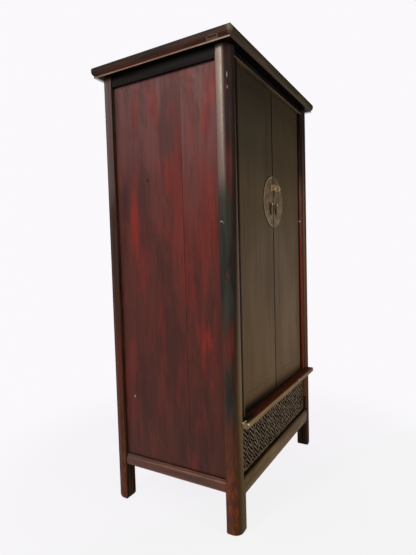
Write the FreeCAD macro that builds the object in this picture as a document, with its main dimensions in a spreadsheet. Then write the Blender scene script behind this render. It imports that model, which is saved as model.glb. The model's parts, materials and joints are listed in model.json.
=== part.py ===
import FreeCAD, Part
import os
from collections import defaultdict
from types import SimpleNamespace
import Sketcher
from FreeCAD import Placement, Rotation, Vector

# Chinese wedding cabinet, in millimetres. X runs to the right along the front, Y to the back and Z up.
# The origin lies on the floor, in the middle of the cabinet's overall plan.

SIZES = {
    # Whole case, over the posts
    "overall_height": 1850.0,
    "case_width": 910.0,
    "case_depth": 606.0,
    # Posts
    "post_size": 58.0,
    "post_round": 36.0,
    "post_front_round": 20.0,
    "post_ease": 3.0,
    "foot_bevel": 3.0,
    "foot_bevel_height": 8.0,
    "post_tenon": 24.0,
    "post_tenon_height": 18.0,
    # Moulding and top
    "cornice_height": 44.0,
    "cornice_member": 86.0,
    "cornice_side_reach": 33.0,
    "cornice_front_reach": 26.0,
    "cornice_rear_reach": 19.0,
    "cornice_fillet_height": 7.0,
    "cornice_fillet_inset": 8.0,
    "cornice_fillet_lap": 5.0,
    "cornice_round": 10.0,
    "cornice_under_round": 25.0,
    "top_board": 12.0,
    "top_board_drop": 8.0,
    "top_tongue": 10.0,
    "top_batten": 16.0,
    "top_batten_width": 40.0,
    # Tenons and grooves
    "tenon_length": 30.0,
    "tenon_thickness": 12.0,
    "tenon_shoulder": 9.0,
    "groove_depth": 8.0,
    # Rails
    "frieze_height": 28.0,
    "frieze_back": 14.0,
    "frieze_thickness": 42.0,
    "bead_radius": 4.0,
    "side_rail_back": 4.0,
    "top_rail_height": 42.0,
    "side_rail_thickness": 30.0,
    "side_bottom_low": 152.0,
    "side_bottom_height": 47.0,
    "side_bottom_thickness": 40.0,
    "side_bottom_round": 16.0,
    "side_strip_height": 7.0,
    "side_strip_back": 9.0,
    "side_strip_thickness": 21.0,
    "front_bottom_low": 132.0,
    "front_bottom_height": 74.0,
    "front_bottom_back": 2.0,
    "front_bottom_thickness": 44.0,
    "front_bottom_round": 17.0,
    "haunch": 12.0,
    "haunch_back": 8.0,
    "rear_bottom_low": 150.0,
    "rear_bottom_height": 50.0,
    "rear_rail_thickness": 30.0,
    # Ledge
    "ledge_top": 432.0,
    "ledge_rail_height": 34.0,
    "ledge_rail_back": 4.0,
    "ledge_rail_depth": 54.0,
    "nosing_thickness": 21.0,
    "nosing_reach": 28.0,
    "nosing_end_inset": 34.0,
    "nosing_round": 4.0,
    "seat_gap": 0.3,
    # Fixed panels
    "side_board_back": 16.0,
    "side_board": 12.0,
    "side_seam": 221.0,
    "seam_gap": 0.8,
    "back_board_back": 10.0,
    "back_board": 10.0,
    "back_board_lap": 36.0,
    "case_batten": 16.0,
    "case_batten_height": 40.0,
    "fret_back": 22.0,
    "fret_board": 16.0,
    "fret_border": 8.0,
    "fret_sinking": 6.0,
    # Jambs and doors
    "jamb_width": 28.0,
    "jamb_back": 10.0,
    "jamb_depth": 38.0,
    "door_back": 23.0,
    "door_thickness": 24.0,
    "door_side_gap": 1.0,
    "door_meeting_gap": 2.0,
    "door_end_gap": 2.0,
    "stile_width": 60.0,
    "door_rail_height": 70.0,
    "door_panel": 12.0,
    "door_tongue": 8.0,
    "door_panel_gap": 0.4,
    "door_batten": 8.0,
    "door_batten_height": 44.0,
    "pivot_radius": 9.0,
    "pivot_length": 14.0,
    "running_gap": 0.1,
    # Inside
    "floor_top": 198.0,
    "floor_board": 12.0,
    "bearer": 24.0,
    "bearer_width": 36.0,
    "lid_top": 428.0,
    "lid_board": 12.0,
    "lid_gap": 1.0,
    "lid_rest": 14.0,
    "lid_frame": 24.0,
    "lid_frame_width": 44.0,
    "finger_hole_radius": 12.0,
    "shelf_board": 16.0,
    "shelf_setback": 12.0,
    # Brass
    "plate_diameter": 232.0,
    "plate_height": 1290.0,
    "plate_thickness": 2.0,
    "plate_split": 2.0,
    "shank": 4.0,
    "clench": 1.5,
    "staple_place": 26.0,
    "staple_rise": 60.0,
    "staple_thickness": 5.0,
    "staple_tall": 26.0,
    "staple_reach": 24.0,
    "staple_hole": 5.0,
    "eye_place": 31.0,
    "eye_drop": 12.0,
    "eye_thickness": 4.0,
    "eye_tall": 10.0,
    "eye_reach": 9.5,
    "eye_hole": 2.1,
    "fork_gap": 0.4,
    "fork_cheek": 2.0,
    "fork_thickness": 5.0,
    "fork_rise": 3.0,
    "fork_bridge": 3.4,
    "pull_drop": 46.0,
    "pull_width": 14.0,
    "pull_thickness": 3.0,
    # One overrun serves every cut, and one match every comparison of places
    "overrun": 4.0,
    "match": 0.01,
}

# Places along or across what carries a piece, as shares of its length
case_batten_shares = (0.2, 0.5, 0.8)
door_batten_shares = (0.25, 0.75)
back_board_shares = (0.0, 1 / 3, 2 / 3, 1.0)
bearer_shares = (0.15, 0.5, 0.85)
top_batten_shares = (0.33, 0.67)
finger_hole_share = 0.2

SIDES = {"left": -1, "right": 1}


class Length:
    """A number kept together with the sheet expression that gives it."""

    def __init__(self, value, text):
        self.value = value
        self.text = text

    def __add__(self, other):
        other = as_length(other)
        return Length(self.value + other.value, f"({self.text} + {other.text})")

    def __sub__(self, other):
        other = as_length(other)
        return Length(self.value - other.value, f"({self.text} - {other.text})")

    def __mul__(self, other):
        other = as_length(other)
        return Length(self.value * other.value, f"({self.text} * {other.text})")

    def __truediv__(self, other):
        other = as_length(other)
        return Length(self.value / other.value, f"({self.text} / {other.text})")

    def __neg__(self):
        return Length(-self.value, f"(0 - {self.text})")


def as_length(number):
    """Lets a plain number stand in a sum with lengths."""
    return number if isinstance(number, Length) else Length(float(number), f"({float(number)!r})")


def make_sheet():
    """Puts every size in the sheet under its own name."""
    sheet = document.addObject("Spreadsheet::Sheet", "Sizes")
    for row, (name, value) in enumerate(SIZES.items(), start=1):
        sheet.set(f"A{row}", name)
        sheet.set(f"B{row}", str(value))
        sheet.setAlias(f"B{row}", name)
    document.recompute()
    return SimpleNamespace(**{name: Length(value, f"Sizes.{name}") for name, value in SIZES.items()})


def derive_places():
    """Works out the planes and levels that several pieces share."""
    at = SimpleNamespace()
    at.outer_x = size.case_width / 2
    at.inner_x = at.outer_x - size.post_size
    at.front = size.nosing_reach - (size.case_depth + size.nosing_reach + size.cornice_rear_reach) / 2
    at.back = at.front + size.case_depth
    at.inner_front = at.front + size.post_size
    at.inner_back = at.back - size.post_size
    at.soffit = size.overall_height - size.cornice_height
    at.frieze_low = at.soffit - size.frieze_height
    at.top_rail_low = at.soffit - size.top_rail_height
    at.side_bottom_top = size.side_bottom_low + size.side_bottom_height
    at.side_panel_low = at.side_bottom_top + size.side_strip_height
    at.front_bottom_top = size.front_bottom_low + size.front_bottom_height
    at.rear_bottom_top = size.rear_bottom_low + size.rear_bottom_height
    at.rear_rail_back = size.back_board_back + size.back_board
    at.ledge_low = size.ledge_top - size.ledge_rail_height
    at.jamb_inner_x = at.inner_x - size.jamb_width
    at.board_outer_x = at.outer_x - size.side_board_back
    at.board_inner_x = at.board_outer_x - size.side_board
    at.board_front_y = at.back - at.rear_rail_back
    at.door_face = at.front + size.door_back
    at.door_rear = at.door_face + size.door_thickness
    at.door_outer_x = at.jamb_inner_x - size.door_side_gap
    at.door_low = size.ledge_top + size.door_end_gap
    at.door_top = at.frieze_low - size.door_end_gap
    at.pivot_x = at.door_outer_x - size.door_thickness / 2
    at.pivot_y = at.door_face + size.door_thickness / 2
    at.lock_inner_x = size.door_meeting_gap + size.stile_width
    at.hinge_inner_x = at.door_outer_x - size.stile_width
    at.plate_face = at.door_face - size.plate_thickness
    at.staple_z = size.plate_height + size.staple_rise
    at.eye_z = size.plate_height - size.eye_drop
    at.pull_y = at.plate_face - size.eye_reach + size.eye_tall / 2
    return at


document = FreeCAD.newDocument("wedding_cabinet")
size = make_sheet()
at = derive_places()
pieces = {}
housings = defaultdict(list)


def bind(item, prop, length):
    """Ties one property of an object to the sheet."""
    item.setExpression(prop, as_length(length).text)


def put(item, x, y, z):
    """Ties the place of an object to the sheet."""
    for axis, length in zip("xyz", (x, y, z)):
        bind(item, f"Placement.Base.{axis}", length)


def new_piece(label):
    """Starts a sub-part as a body named after its node."""
    body = document.addObject("PartDesign::Body", label)
    body.Label = label
    body.AllowCompound = True
    pieces[label] = body
    return body


def block(body, kind, xs, ys, zs):
    """Adds to a body, or cuts from it, the box over three spans."""
    item = body.newObject(f"PartDesign::{kind}Box", f"{body.Label}_block")
    for prop, (low, high) in zip(("Length", "Width", "Height"), (xs, ys, zs)):
        bind(item, prop, as_length(high) - low)
    put(item, xs[0], ys[0], zs[0])


def drum(body, kind, centre, radius, length, axis=Vector(0, 0, 1)):
    """Adds to a body, or cuts from it, a cylinder that starts at a point and runs along an axis."""
    item = body.newObject(f"PartDesign::{kind}Cylinder", f"{body.Label}_drum")
    bind(item, "Radius", radius)
    bind(item, "Height", length)
    item.Placement = Placement(Vector(), Rotation(Vector(0, 0, 1), axis))
    put(item, *centre)


def board(label, xs, ys, zs):
    """Makes a plain board, a sub-part of its own."""
    body = new_piece(label)
    block(body, "Additive", xs, ys, zs)
    return body


def across(side, inner, outer):
    """Gives a span in X on the left or the right, from its inner and outer edges."""
    return (inner, outer) if side > 0 else (-outer, -inner)


def centred(length):
    """Gives a span as far to the left of the middle as to the right."""
    return -length, length


def behind(end, near, far):
    """Gives a span in Y measured inwards from the front or the rear face of the posts."""
    return (at.front + near, at.front + far) if end == "front" else (at.back - far, at.back - near)


def around(middle, width):
    """Gives a span about its middle."""
    return middle - width / 2, middle + width / 2


def along(low, high, share):
    """Gives the place at a share of the way between two others."""
    return low + (high - low) * share


def let_into(carriers, box):
    """Notes that a box of one piece is housed in others, which are cut to take it."""
    for label in carriers:
        housings[label].append(box)


def same(first, second):
    """Says whether a place found on a shape is the one that the sheet gives."""
    return second is None or abs(first - as_length(second).value) < size.match.value


def dress(body, kind, sizes, *places):
    """Rounds or bevels the edges whose middles lie at given places, where None fits anything."""
    document.recompute()
    base = body.Tip
    names = []
    for number, edge in enumerate(base.Shape.Edges, start=1):
        middle = edge.CenterOfMass
        if any(all(same(have, want) for have, want in zip(middle, spot)) for spot in places):
            names.append(f"Edge{number}")
    feature = body.newObject(f"PartDesign::{kind}", f"{body.Label}_{kind.lower()}")
    feature.Base = (base, names)
    if kind == "Chamfer":
        feature.ChamferType = "Two distances"
    for prop, length in sizes.items():
        bind(feature, prop, length)
    document.recompute()


def outlined(body, corners, low, high):
    """Pads an outline of straight sides in plan, each of its corners tied to the sheet."""
    sketch = body.newObject("Sketcher::SketchObject", f"{body.Label}_outline")
    plane = next(item for item in body.Origin.OriginFeatures if item.Role == "XY_Plane")
    sketch.AttachmentSupport = [(plane, "")]
    sketch.MapMode = "FlatFace"
    bind(sketch, "AttachmentOffset.Base.z", low)
    points = [Vector(x.value, y.value, 0) for x, y in corners]
    for start, end in zip(points, points[1:] + points[:1]):
        sketch.addGeometry(Part.LineSegment(start, end))
    for number, corner in enumerate(corners):
        following = (number + 1) % len(corners)
        sketch.addConstraint(Sketcher.Constraint("Coincident", number, 2, following, 1))
        for kind, length in zip(("DistanceX", "DistanceY"), corner):
            constraint = sketch.addConstraint(Sketcher.Constraint(kind, -1, 1, number, 1, length.value))
            bind(sketch, f"Constraints[{constraint}]", length)
    pad = body.newObject("PartDesign::Pad", f"{body.Label}_pad")
    pad.Profile = sketch
    bind(pad, "Length", high - low)


def tenon_span(low, high):
    """Gives the height of a tenon between its shoulders."""
    return low + size.tenon_shoulder, high - size.tenon_shoulder


def cross_rail(label, end, back, thickness, zs):
    """Makes a rail between the two front or the two rear posts, with a tenon at each end."""
    body = board(label, centred(at.inner_x), behind(end, back, back + thickness), zs)
    start = back + size.tenon_shoulder
    for name, side in SIDES.items():
        tenon = (
            across(side, at.inner_x, at.inner_x + size.tenon_length),
            behind(end, start, start + size.tenon_thickness),
            tenon_span(*zs),
        )
        block(body, "Additive", *tenon)
        let_into([f"{end}_{name}_post"], tenon)
    return body


def side_rail(label, name, thickness, zs):
    """Makes a rail between the front and the rear post of one side, with a tenon at each end."""
    side = SIDES[name]
    face = at.outer_x - size.side_rail_back
    body = board(label, across(side, face - thickness, face), (at.inner_front, at.inner_back), zs)
    outer = face - size.tenon_shoulder
    for end in ("front", "rear"):
        tenon = (
            across(side, outer - size.tenon_thickness, outer),
            behind(end, size.post_size - size.tenon_length, size.post_size),
            tenon_span(*zs),
        )
        block(body, "Additive", *tenon)
        let_into([f"{end}_{name}_post"], tenon)
    return body


def make_post(end, name):
    """Makes a post that is round on its outer corner, with a bevelled foot and a tenon for the moulding."""
    side = SIDES[name]
    body = board(
        f"{end}_{name}_post",
        across(side, at.inner_x, at.outer_x),
        behind(end, as_length(0), size.post_size),
        (0, at.soffit),
    )
    outer_x, inner_x = at.outer_x * side, at.inner_x * side
    face_y, inner_y = (at.front, at.inner_front) if end == "front" else (at.back, at.inner_back)
    dress(body, "Fillet", {"Radius": size.post_round}, (outer_x, face_y, None))
    if end == "front":
        dress(body, "Fillet", {"Radius": size.post_front_round}, (inner_x, face_y, None))
        square_corner = (
            across(side, at.inner_x, at.inner_x + size.post_front_round),
            behind(end, as_length(0), size.post_front_round),
        )
        block(body, "Additive", *square_corner, (0, at.front_bottom_top))
        block(body, "Additive", *square_corner, (at.ledge_low, size.ledge_top))
    bevel = {"Size": size.foot_bevel_height, "Size2": size.foot_bevel}
    dress(body, "Chamfer", bevel, (None, None, 0))
    eased = [(outer_x, inner_y, None)]
    if end == "rear":
        eased.append((inner_x, face_y, None))
    dress(body, "Fillet", {"Radius": size.post_ease}, *eased)
    tenon = (
        around((at.inner_x + at.outer_x) / 2 * side, size.post_tenon),
        behind(end, (size.post_size - size.post_tenon) / 2, (size.post_size + size.post_tenon) / 2),
        (at.soffit, at.soffit + size.post_tenon_height),
    )
    block(body, "Additive", *tenon)
    let_into([f"{end}_cornice", f"{name}_cornice"], tenon)


def cornice_ring(inset):
    """Gives the corners of the moulding's plan, or of a plan that lies inside it."""
    x = at.outer_x + size.cornice_side_reach - inset
    front = at.front - size.cornice_front_reach + inset
    back = at.back + size.cornice_rear_reach - inset
    return [(-x, front), (x, front), (x, back), (-x, back)]


def make_cornice():
    """Makes the four mitred members of the moulding, whose round nose stands over a small fillet."""
    inner = cornice_ring(size.cornice_member)
    outer = cornice_ring(as_length(0))
    lower = cornice_ring(size.cornice_fillet_inset)
    fillet_top = at.soffit + size.cornice_fillet_height
    nose_low = fillet_top - size.cornice_fillet_lap
    for first, label in enumerate(("front_cornice", "right_cornice", "rear_cornice", "left_cornice")):
        second = (first + 1) % len(outer)
        body = new_piece(label)
        ends = [inner[second], inner[first]]
        outlined(body, [outer[first], outer[second]] + ends, nose_low, size.overall_height)
        middle_x = (outer[first][0] + outer[second][0]) / 2
        middle_y = (outer[first][1] + outer[second][1]) / 2
        top_edge = (middle_x, middle_y, size.overall_height)
        dress(body, "Fillet", {"Radius": size.cornice_round}, top_edge)
        dress(body, "Fillet", {"Radius": size.cornice_under_round}, (middle_x, middle_y, nose_low))
        outlined(body, [lower[first], lower[second]] + ends, at.soffit, fillet_top)


def make_top():
    """Makes the board grooved into the moulding, and the two battens under it."""
    (left, front), _, (right, back), _ = cornice_ring(size.cornice_member)
    top = size.overall_height - size.top_board_drop
    low = top - size.top_board
    box = (
        (left - size.top_tongue, right + size.top_tongue),
        (front - size.top_tongue, back + size.top_tongue),
        (low, top),
    )
    board("top_panel", *box)
    let_into(["front_cornice", "right_cornice", "rear_cornice", "left_cornice"], box)
    battens = new_piece("top_battens")
    for share in top_batten_shares:
        xs = around(along(left, right, share), size.top_batten_width)
        block(battens, "Additive", xs, (front, back), (low - size.top_batten, low))


def make_front_rails():
    """Makes the rail over the doors, with its bead, and the round rail at the bottom."""
    frieze = cross_rail(
        "front_frieze_rail", "front", size.frieze_back, size.frieze_thickness, (at.frieze_low, at.soffit)
    )
    bead = (-at.inner_x, at.front + size.frieze_back, at.frieze_low + size.bead_radius)
    drum(frieze, "Additive", bead, size.bead_radius, at.inner_x * 2, Vector(1, 0, 0))
    low, high = size.front_bottom_low, at.front_bottom_top
    back, thickness = size.front_bottom_back, size.front_bottom_thickness
    rail = cross_rail("front_bottom_rail", "front", back, thickness, (low, high))
    face = at.front + back
    dress(rail, "Fillet", {"Radius": size.front_bottom_round}, (0, face, low), (0, face, high))
    ys = behind("front", size.haunch_back, back + thickness)
    for side in SIDES.values():
        xs = across(side, at.inner_x - size.haunch, at.inner_x)
        block(rail, "Additive", xs, ys, (low - size.haunch, low + size.front_bottom_round))
    for side in SIDES.values():
        hollow = ((at.inner_x - size.haunch) * side, face, low - size.haunch)
        drum(rail, "Subtractive", hollow, size.haunch, thickness + size.overrun, Vector(0, 1, 0))


def make_rear_rails():
    """Makes the rails that the back boards lie on."""
    back, thickness = at.rear_rail_back, size.rear_rail_thickness
    cross_rail("rear_top_rail", "rear", back, thickness, (at.top_rail_low, at.soffit))
    cross_rail("rear_bottom_rail", "rear", back, thickness, (size.rear_bottom_low, at.rear_bottom_top))


def make_side_rails(name):
    """Makes the top rail of one side and its round bottom rail with a strip under the panel."""
    side = SIDES[name]
    side_rail(f"{name}_top_rail", name, size.side_rail_thickness, (at.top_rail_low, at.soffit))
    low, high = size.side_bottom_low, at.side_bottom_top
    rail = side_rail(f"{name}_bottom_rail", name, size.side_bottom_thickness, (low, high))
    face = (at.outer_x - size.side_rail_back) * side
    middle = (at.inner_front + at.inner_back) / 2
    dress(rail, "Fillet", {"Radius": size.side_bottom_round}, (face, middle, low), (face, middle, high))
    strip = at.outer_x - size.side_strip_back
    xs = across(side, strip - size.side_strip_thickness, strip)
    strip_zs = (high - size.side_bottom_round, at.side_panel_low)
    block(rail, "Additive", xs, (at.inner_front, at.inner_back), strip_zs)


def make_side_boards(name):
    """Makes the two upright boards of one side, grooved into the posts and rails, and their battens."""
    side = SIDES[name]
    xs = across(side, at.board_inner_x, at.board_outer_x)
    zs = (at.side_panel_low - size.groove_depth, at.top_rail_low + size.groove_depth)
    seam = at.front + size.side_seam
    spans = {
        "front": (at.inner_front - size.groove_depth, seam - size.seam_gap / 2),
        "rear": (seam + size.seam_gap / 2, at.inner_back + size.groove_depth),
    }
    rails = [f"{name}_top_rail", f"{name}_bottom_rail"]
    for end, ys in spans.items():
        board(f"{name}_{end}_side_board", xs, ys, zs)
        let_into([f"{end}_{name}_post"], (xs, ys, zs))
    let_into(rails, (xs, (spans["front"][0], spans["rear"][1]), zs))
    battens = new_piece(f"{name}_side_battens")
    batten_xs = across(side, at.board_inner_x - size.case_batten, at.board_inner_x)
    for share in case_batten_shares:
        block(battens, "Additive", batten_xs, (at.inner_front, at.inner_back), batten_zs(share))


def batten_zs(share):
    """Gives the height of one batten of the case, the same at the sides and the back."""
    return around(along(at.side_panel_low, at.top_rail_low, share), size.case_batten_height)


def make_back():
    """Makes the three upright back boards, grooved into the rear posts, and the battens before them."""
    boards = new_piece("back_boards")
    edge = at.inner_x + size.groove_depth
    ys = behind("rear", size.back_board_back, at.rear_rail_back)
    zs = (at.rear_bottom_top - size.back_board_lap, at.soffit)
    for start, end in zip(back_board_shares, back_board_shares[1:]):
        low, high = along(-edge, edge, start), along(-edge, edge, end)
        inner_gap = size.seam_gap / 2
        low = low + inner_gap if start > 0 else low
        high = high - inner_gap if end < 1 else high
        block(boards, "Additive", (low, high), ys, zs)
    let_into(["rear_left_post", "rear_right_post"], (centred(edge), ys, zs))
    battens = new_piece("back_battens")
    batten_ys = (at.board_front_y - size.case_batten, at.board_front_y)
    for share in case_batten_shares:
        block(battens, "Additive", centred(at.inner_x), batten_ys, batten_zs(share))


def make_ledge():
    """Makes the rail under the doors and its nosing, which laps the fronts of the posts."""
    top = size.ledge_top
    rail_zs = (at.ledge_low, top)
    ledge = cross_rail("ledge", "front", size.ledge_rail_back, size.ledge_rail_depth, rail_zs)
    nosing_zs = (top - size.nosing_thickness, top)
    nosing_front = at.front - size.nosing_reach
    end_x = at.outer_x - size.nosing_end_inset
    block(ledge, "Additive", centred(at.inner_x), (nosing_front, at.front + size.ledge_rail_back), nosing_zs)
    block(ledge, "Additive", centred(end_x), (nosing_front, at.front - size.seat_gap), nosing_zs)
    edges = [(0, nosing_front, level) for level in nosing_zs]
    dress(ledge, "Fillet", {"Radius": size.nosing_round}, *edges)


def make_pivot_sockets():
    """Cuts the sockets of the doors' pivots in the ledge and in the rail over the doors."""
    depth = size.pivot_length - size.door_end_gap + size.seat_gap
    radius = size.pivot_radius + size.running_gap
    for side in SIDES.values():
        x = at.pivot_x * side
        low = (x, at.pivot_y, size.ledge_top - depth)
        drum(pieces["ledge"], "Subtractive", low, radius, depth + size.overrun)
        high = (x, at.pivot_y, at.frieze_low - size.overrun)
        drum(pieces["front_frieze_rail"], "Subtractive", high, radius, depth + size.overrun)


def make_jambs():
    """Makes the strips beside the doors, against the front posts."""
    ys = behind("front", size.jamb_back, size.jamb_back + size.jamb_depth)
    for name, side in SIDES.items():
        board(f"{name}_jamb", across(side, at.jamb_inner_x, at.inner_x), ys, (size.ledge_top, at.frieze_low))


def make_carved_panel():
    """Makes the board of the hidden compartment, its field sunk for the fretwork, in grooves all round."""
    edge = at.inner_x + size.groove_depth
    ys = behind("front", size.fret_back, size.fret_back + size.fret_board)
    zs = (at.front_bottom_top - size.groove_depth, at.ledge_low + size.groove_depth)
    panel = board("carved_panel", centred(edge), ys, zs)
    let_into(["front_left_post", "front_right_post", "front_bottom_rail", "ledge"], (centred(edge), ys, zs))
    block(
        panel,
        "Subtractive",
        centred(at.inner_x - size.fret_border),
        behind("front", size.fret_back - size.overrun, size.fret_back + size.fret_sinking),
        (at.front_bottom_top + size.fret_border, at.ledge_low - size.fret_border),
    )


def make_compartment_floor():
    """Makes the floor of the hidden compartment and the bearers between the bottom rails."""
    low = size.floor_top - size.floor_board
    front = at.front + size.front_bottom_back + size.front_bottom_thickness
    back = at.back - at.rear_rail_back - size.rear_rail_thickness
    rail_inner = at.outer_x - size.side_rail_back - size.side_bottom_thickness
    zs = (low, size.floor_top)
    floor = board("compartment_floor", centred(rail_inner), (at.inner_front, at.inner_back), zs)
    block(floor, "Additive", centred(at.inner_x), (front, back), zs)
    bearers = new_piece("floor_bearers")
    for share in bearer_shares:
        xs = around(along(-at.inner_x, at.inner_x, share), size.bearer_width)
        block(bearers, "Additive", xs, (front, back), (low - size.bearer, low))


def make_lids():
    """Makes the two lids of the hidden compartment and the rebated frame that they lie in."""
    zs = (size.lid_top - size.lid_frame, size.lid_top)
    width = size.lid_frame_width
    inner_ys = (at.inner_front + width, at.inner_back - width)
    rails = board("lid_frame_rails", centred(at.board_inner_x), (at.inner_front, inner_ys[0]), zs)
    block(rails, "Additive", centred(at.board_inner_x), (inner_ys[1], at.inner_back), zs)
    frame_sides = new_piece("lid_frame_sides")
    board("lid_frame_middle", centred(width / 2), inner_ys, zs)
    lid_zs = (size.lid_top - size.lid_board, size.lid_top)
    for name, side in SIDES.items():
        block(frame_sides, "Additive", across(side, at.board_inner_x - width, at.board_inner_x), inner_ys, zs)
        inner, outer = width / 2 - size.lid_rest, at.board_inner_x - width + size.lid_rest
        front, back = inner_ys[0] - size.lid_rest, inner_ys[1] + size.lid_rest
        seat = (across(side, inner, outer), (front, back), lid_zs)
        let_into(["lid_frame_rails", "lid_frame_sides", "lid_frame_middle"], seat)
        gap = size.lid_gap
        lid = board(f"{name}_lid", across(side, inner + gap, outer - gap), (front + gap, back - gap), lid_zs)
        hole = ((inner + outer) / 2 * side, along(front, back, finger_hole_share), lid_zs[0] - size.overrun)
        drum(lid, "Subtractive", hole, size.finger_hole_radius, size.lid_board + size.overrun * 2)


def make_shelf():
    """Makes the shelf on the middle battens, fitted round the rear posts."""
    low = batten_zs(case_batten_shares[1])[1]
    zs = (low, low + size.shelf_board)
    ys = (at.inner_front + size.shelf_setback, at.inner_back)
    shelf = board("shelf", centred(at.board_inner_x), ys, zs)
    block(shelf, "Additive", centred(at.inner_x), (at.inner_back, at.board_front_y), zs)


def make_door_frame(name):
    """Makes the stiles and rails of one door, with its pivots turned on the hinge stile."""
    side = SIDES[name]
    ys, zs = (at.door_face, at.door_rear), (at.door_low, at.door_top)
    hinge = board(f"{name}_door_hinge_stile", across(side, at.hinge_inner_x, at.pivot_x), ys, zs)
    x = at.pivot_x * side
    edge = (x, at.pivot_y, at.door_low)
    drum(hinge, "Additive", edge, size.door_thickness / 2, at.door_top - at.door_low)
    pivot = (x, at.pivot_y, at.door_low - size.pivot_length)
    length = at.door_top - at.door_low + size.pivot_length * 2
    drum(hinge, "Additive", pivot, size.pivot_radius, length)
    board(f"{name}_door_lock_stile", across(side, size.door_meeting_gap, at.lock_inner_x), ys, zs)
    stiles = [f"{name}_door_hinge_stile", f"{name}_door_lock_stile"]
    middle = (at.door_face + at.door_rear) / 2
    levels = {
        "bottom": (at.door_low, at.door_low + size.door_rail_height),
        "top": (at.door_top - size.door_rail_height, at.door_top),
    }
    xs = across(side, at.lock_inner_x, at.hinge_inner_x)
    for level, rail_zs in levels.items():
        rail = board(f"{name}_door_{level}_rail", xs, ys, rail_zs)
        tenon = (
            across(side, at.lock_inner_x - size.tenon_length, at.hinge_inner_x + size.tenon_length),
            around(middle, size.door_tongue),
            tenon_span(*rail_zs),
        )
        block(rail, "Additive", *tenon)
        let_into(stiles, tenon)


def make_door_panel(name):
    """Makes the flush panel of one door, with a tongue all round, and the battens behind it."""
    side = SIDES[name]
    xs = (at.lock_inner_x, at.hinge_inner_x)
    zs = (at.door_low + size.door_rail_height, at.door_top - size.door_rail_height)
    rear = at.door_face + size.door_panel
    gap, groove = size.door_panel_gap, size.groove_depth
    face = across(side, xs[0] + gap, xs[1] - gap)
    panel = board(f"{name}_door_panel", face, (at.door_face, rear), (zs[0] + gap, zs[1] - gap))
    tongue = (
        across(side, xs[0] - groove, xs[1] + groove),
        (rear - size.door_tongue, rear),
        (zs[0] - groove, zs[1] + groove),
    )
    block(panel, "Additive", *tongue)
    carriers = ("hinge_stile", "lock_stile", "top_rail", "bottom_rail")
    let_into([f"{name}_door_{carrier}" for carrier in carriers], tongue)
    battens = new_piece(f"{name}_door_battens")
    for share in door_batten_shares:
        batten = around(along(*zs, share), size.door_batten_height)
        block(battens, "Additive", across(side, *xs), (rear, rear + size.door_batten), batten)


def make_plate(name):
    """Makes one half of the round brass plate, split along the meeting of the doors."""
    side = SIDES[name]
    radius = size.plate_diameter / 2
    plate = new_piece(f"{name}_plate")
    centre = (0, at.plate_face, size.plate_height)
    drum(plate, "Additive", centre, radius, size.plate_thickness, Vector(0, 1, 0))
    reach = radius + size.overrun
    spare = across(side, -reach, size.plate_split)
    block(plate, "Subtractive", spare, (at.plate_face, at.door_face), around(size.plate_height, reach * 2))


def make_loop(label, name, x, z, thickness, tall, reach, hole):
    """Makes a brass loop on a shank that passes through the plate and the stile and is clenched."""
    side = SIDES[name]
    nose = at.plate_face - reach
    xs = around(x * side, thickness)
    zs = around(z, tall)
    loop = board(label, xs, (nose, at.plate_face), zs)
    edges = [(x * side, nose, level) for level in zs]
    dress(loop, "Fillet", {"Radius": tall / 2 - size.match * 2}, *edges)
    bore = (xs[0] - size.overrun, nose + tall / 2, z)
    drum(loop, "Subtractive", bore, hole, thickness + size.overrun * 2, Vector(1, 0, 0))
    shank = (around(x * side, size.shank), (at.plate_face, at.door_rear + size.clench), around(z, size.shank))
    block(loop, "Additive", *shank)
    let_into([f"{name}_plate", f"{name}_door_lock_stile"], shank)


def make_pull(name):
    """Makes a drop pull: a leaf of two arcs under a fork, with the pin that hangs it in its eye."""
    side = SIDES[name]
    x = size.eye_place * side
    slot = size.eye_thickness + size.fork_gap * 2
    width = slot + size.fork_cheek * 2
    slot_low = at.eye_z - size.eye_tall / 2 - size.fork_gap * 2
    fork_zs = (slot_low - size.fork_bridge, at.eye_z + size.fork_rise)
    fork_ys = around(at.pull_y, size.fork_thickness)
    fork = solid_box(around(x, width), fork_ys, fork_zs)
    slot_ys = around(at.pull_y, size.fork_thickness + size.overrun)
    opening = solid_box(around(x, slot), slot_ys, (slot_low, fork_zs[1] + size.overrun))
    cheeks = combine("Part::Cut", Base=fork, Tool=opening)
    pin_start = (x - width / 2, at.pull_y, at.eye_z)
    pin = solid_drum(pin_start, size.eye_hole - size.running_gap, width, Vector(1, 0, 0))
    top = fork_zs[0] + size.fork_bridge / 2
    low = at.eye_z - size.pull_drop
    length = top - low
    radius = (length * length / 4 + size.pull_width * size.pull_width / 4) / size.pull_width
    y = at.pull_y - size.pull_thickness / 2
    discs = [
        solid_drum((x + offset, y, (top + low) / 2), radius, size.pull_thickness, Vector(0, 1, 0))
        for offset in (radius - size.pull_width / 2, size.pull_width / 2 - radius)
    ]
    leaf = combine("Part::Common", Base=discs[0], Tool=discs[1])
    pull = combine("Part::MultiFuse", Shapes=[cheeks, pin, leaf])
    pull.Label = f"{name}_drop_pull"
    pieces[pull.Label] = pull


def solid_box(xs, ys, zs):
    """Makes a box over three spans that is a member of a combined shape."""
    item = document.addObject("Part::Box", "member_box")
    for prop, (low, high) in zip(("Length", "Width", "Height"), (xs, ys, zs)):
        bind(item, prop, high - low)
    put(item, xs[0], ys[0], zs[0])
    return item


def solid_drum(centre, radius, length, axis):
    """Makes a cylinder that is a member of a combined shape."""
    item = document.addObject("Part::Cylinder", "member_drum")
    bind(item, "Radius", radius)
    bind(item, "Height", length)
    item.Placement = Placement(Vector(), Rotation(Vector(0, 0, 1), axis))
    put(item, *centre)
    return item


def combine(kind, **members):
    """Joins or cuts members into one shape."""
    item = document.addObject(kind, "combined")
    for prop, member in members.items():
        setattr(item, prop, member)
    return item


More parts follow.
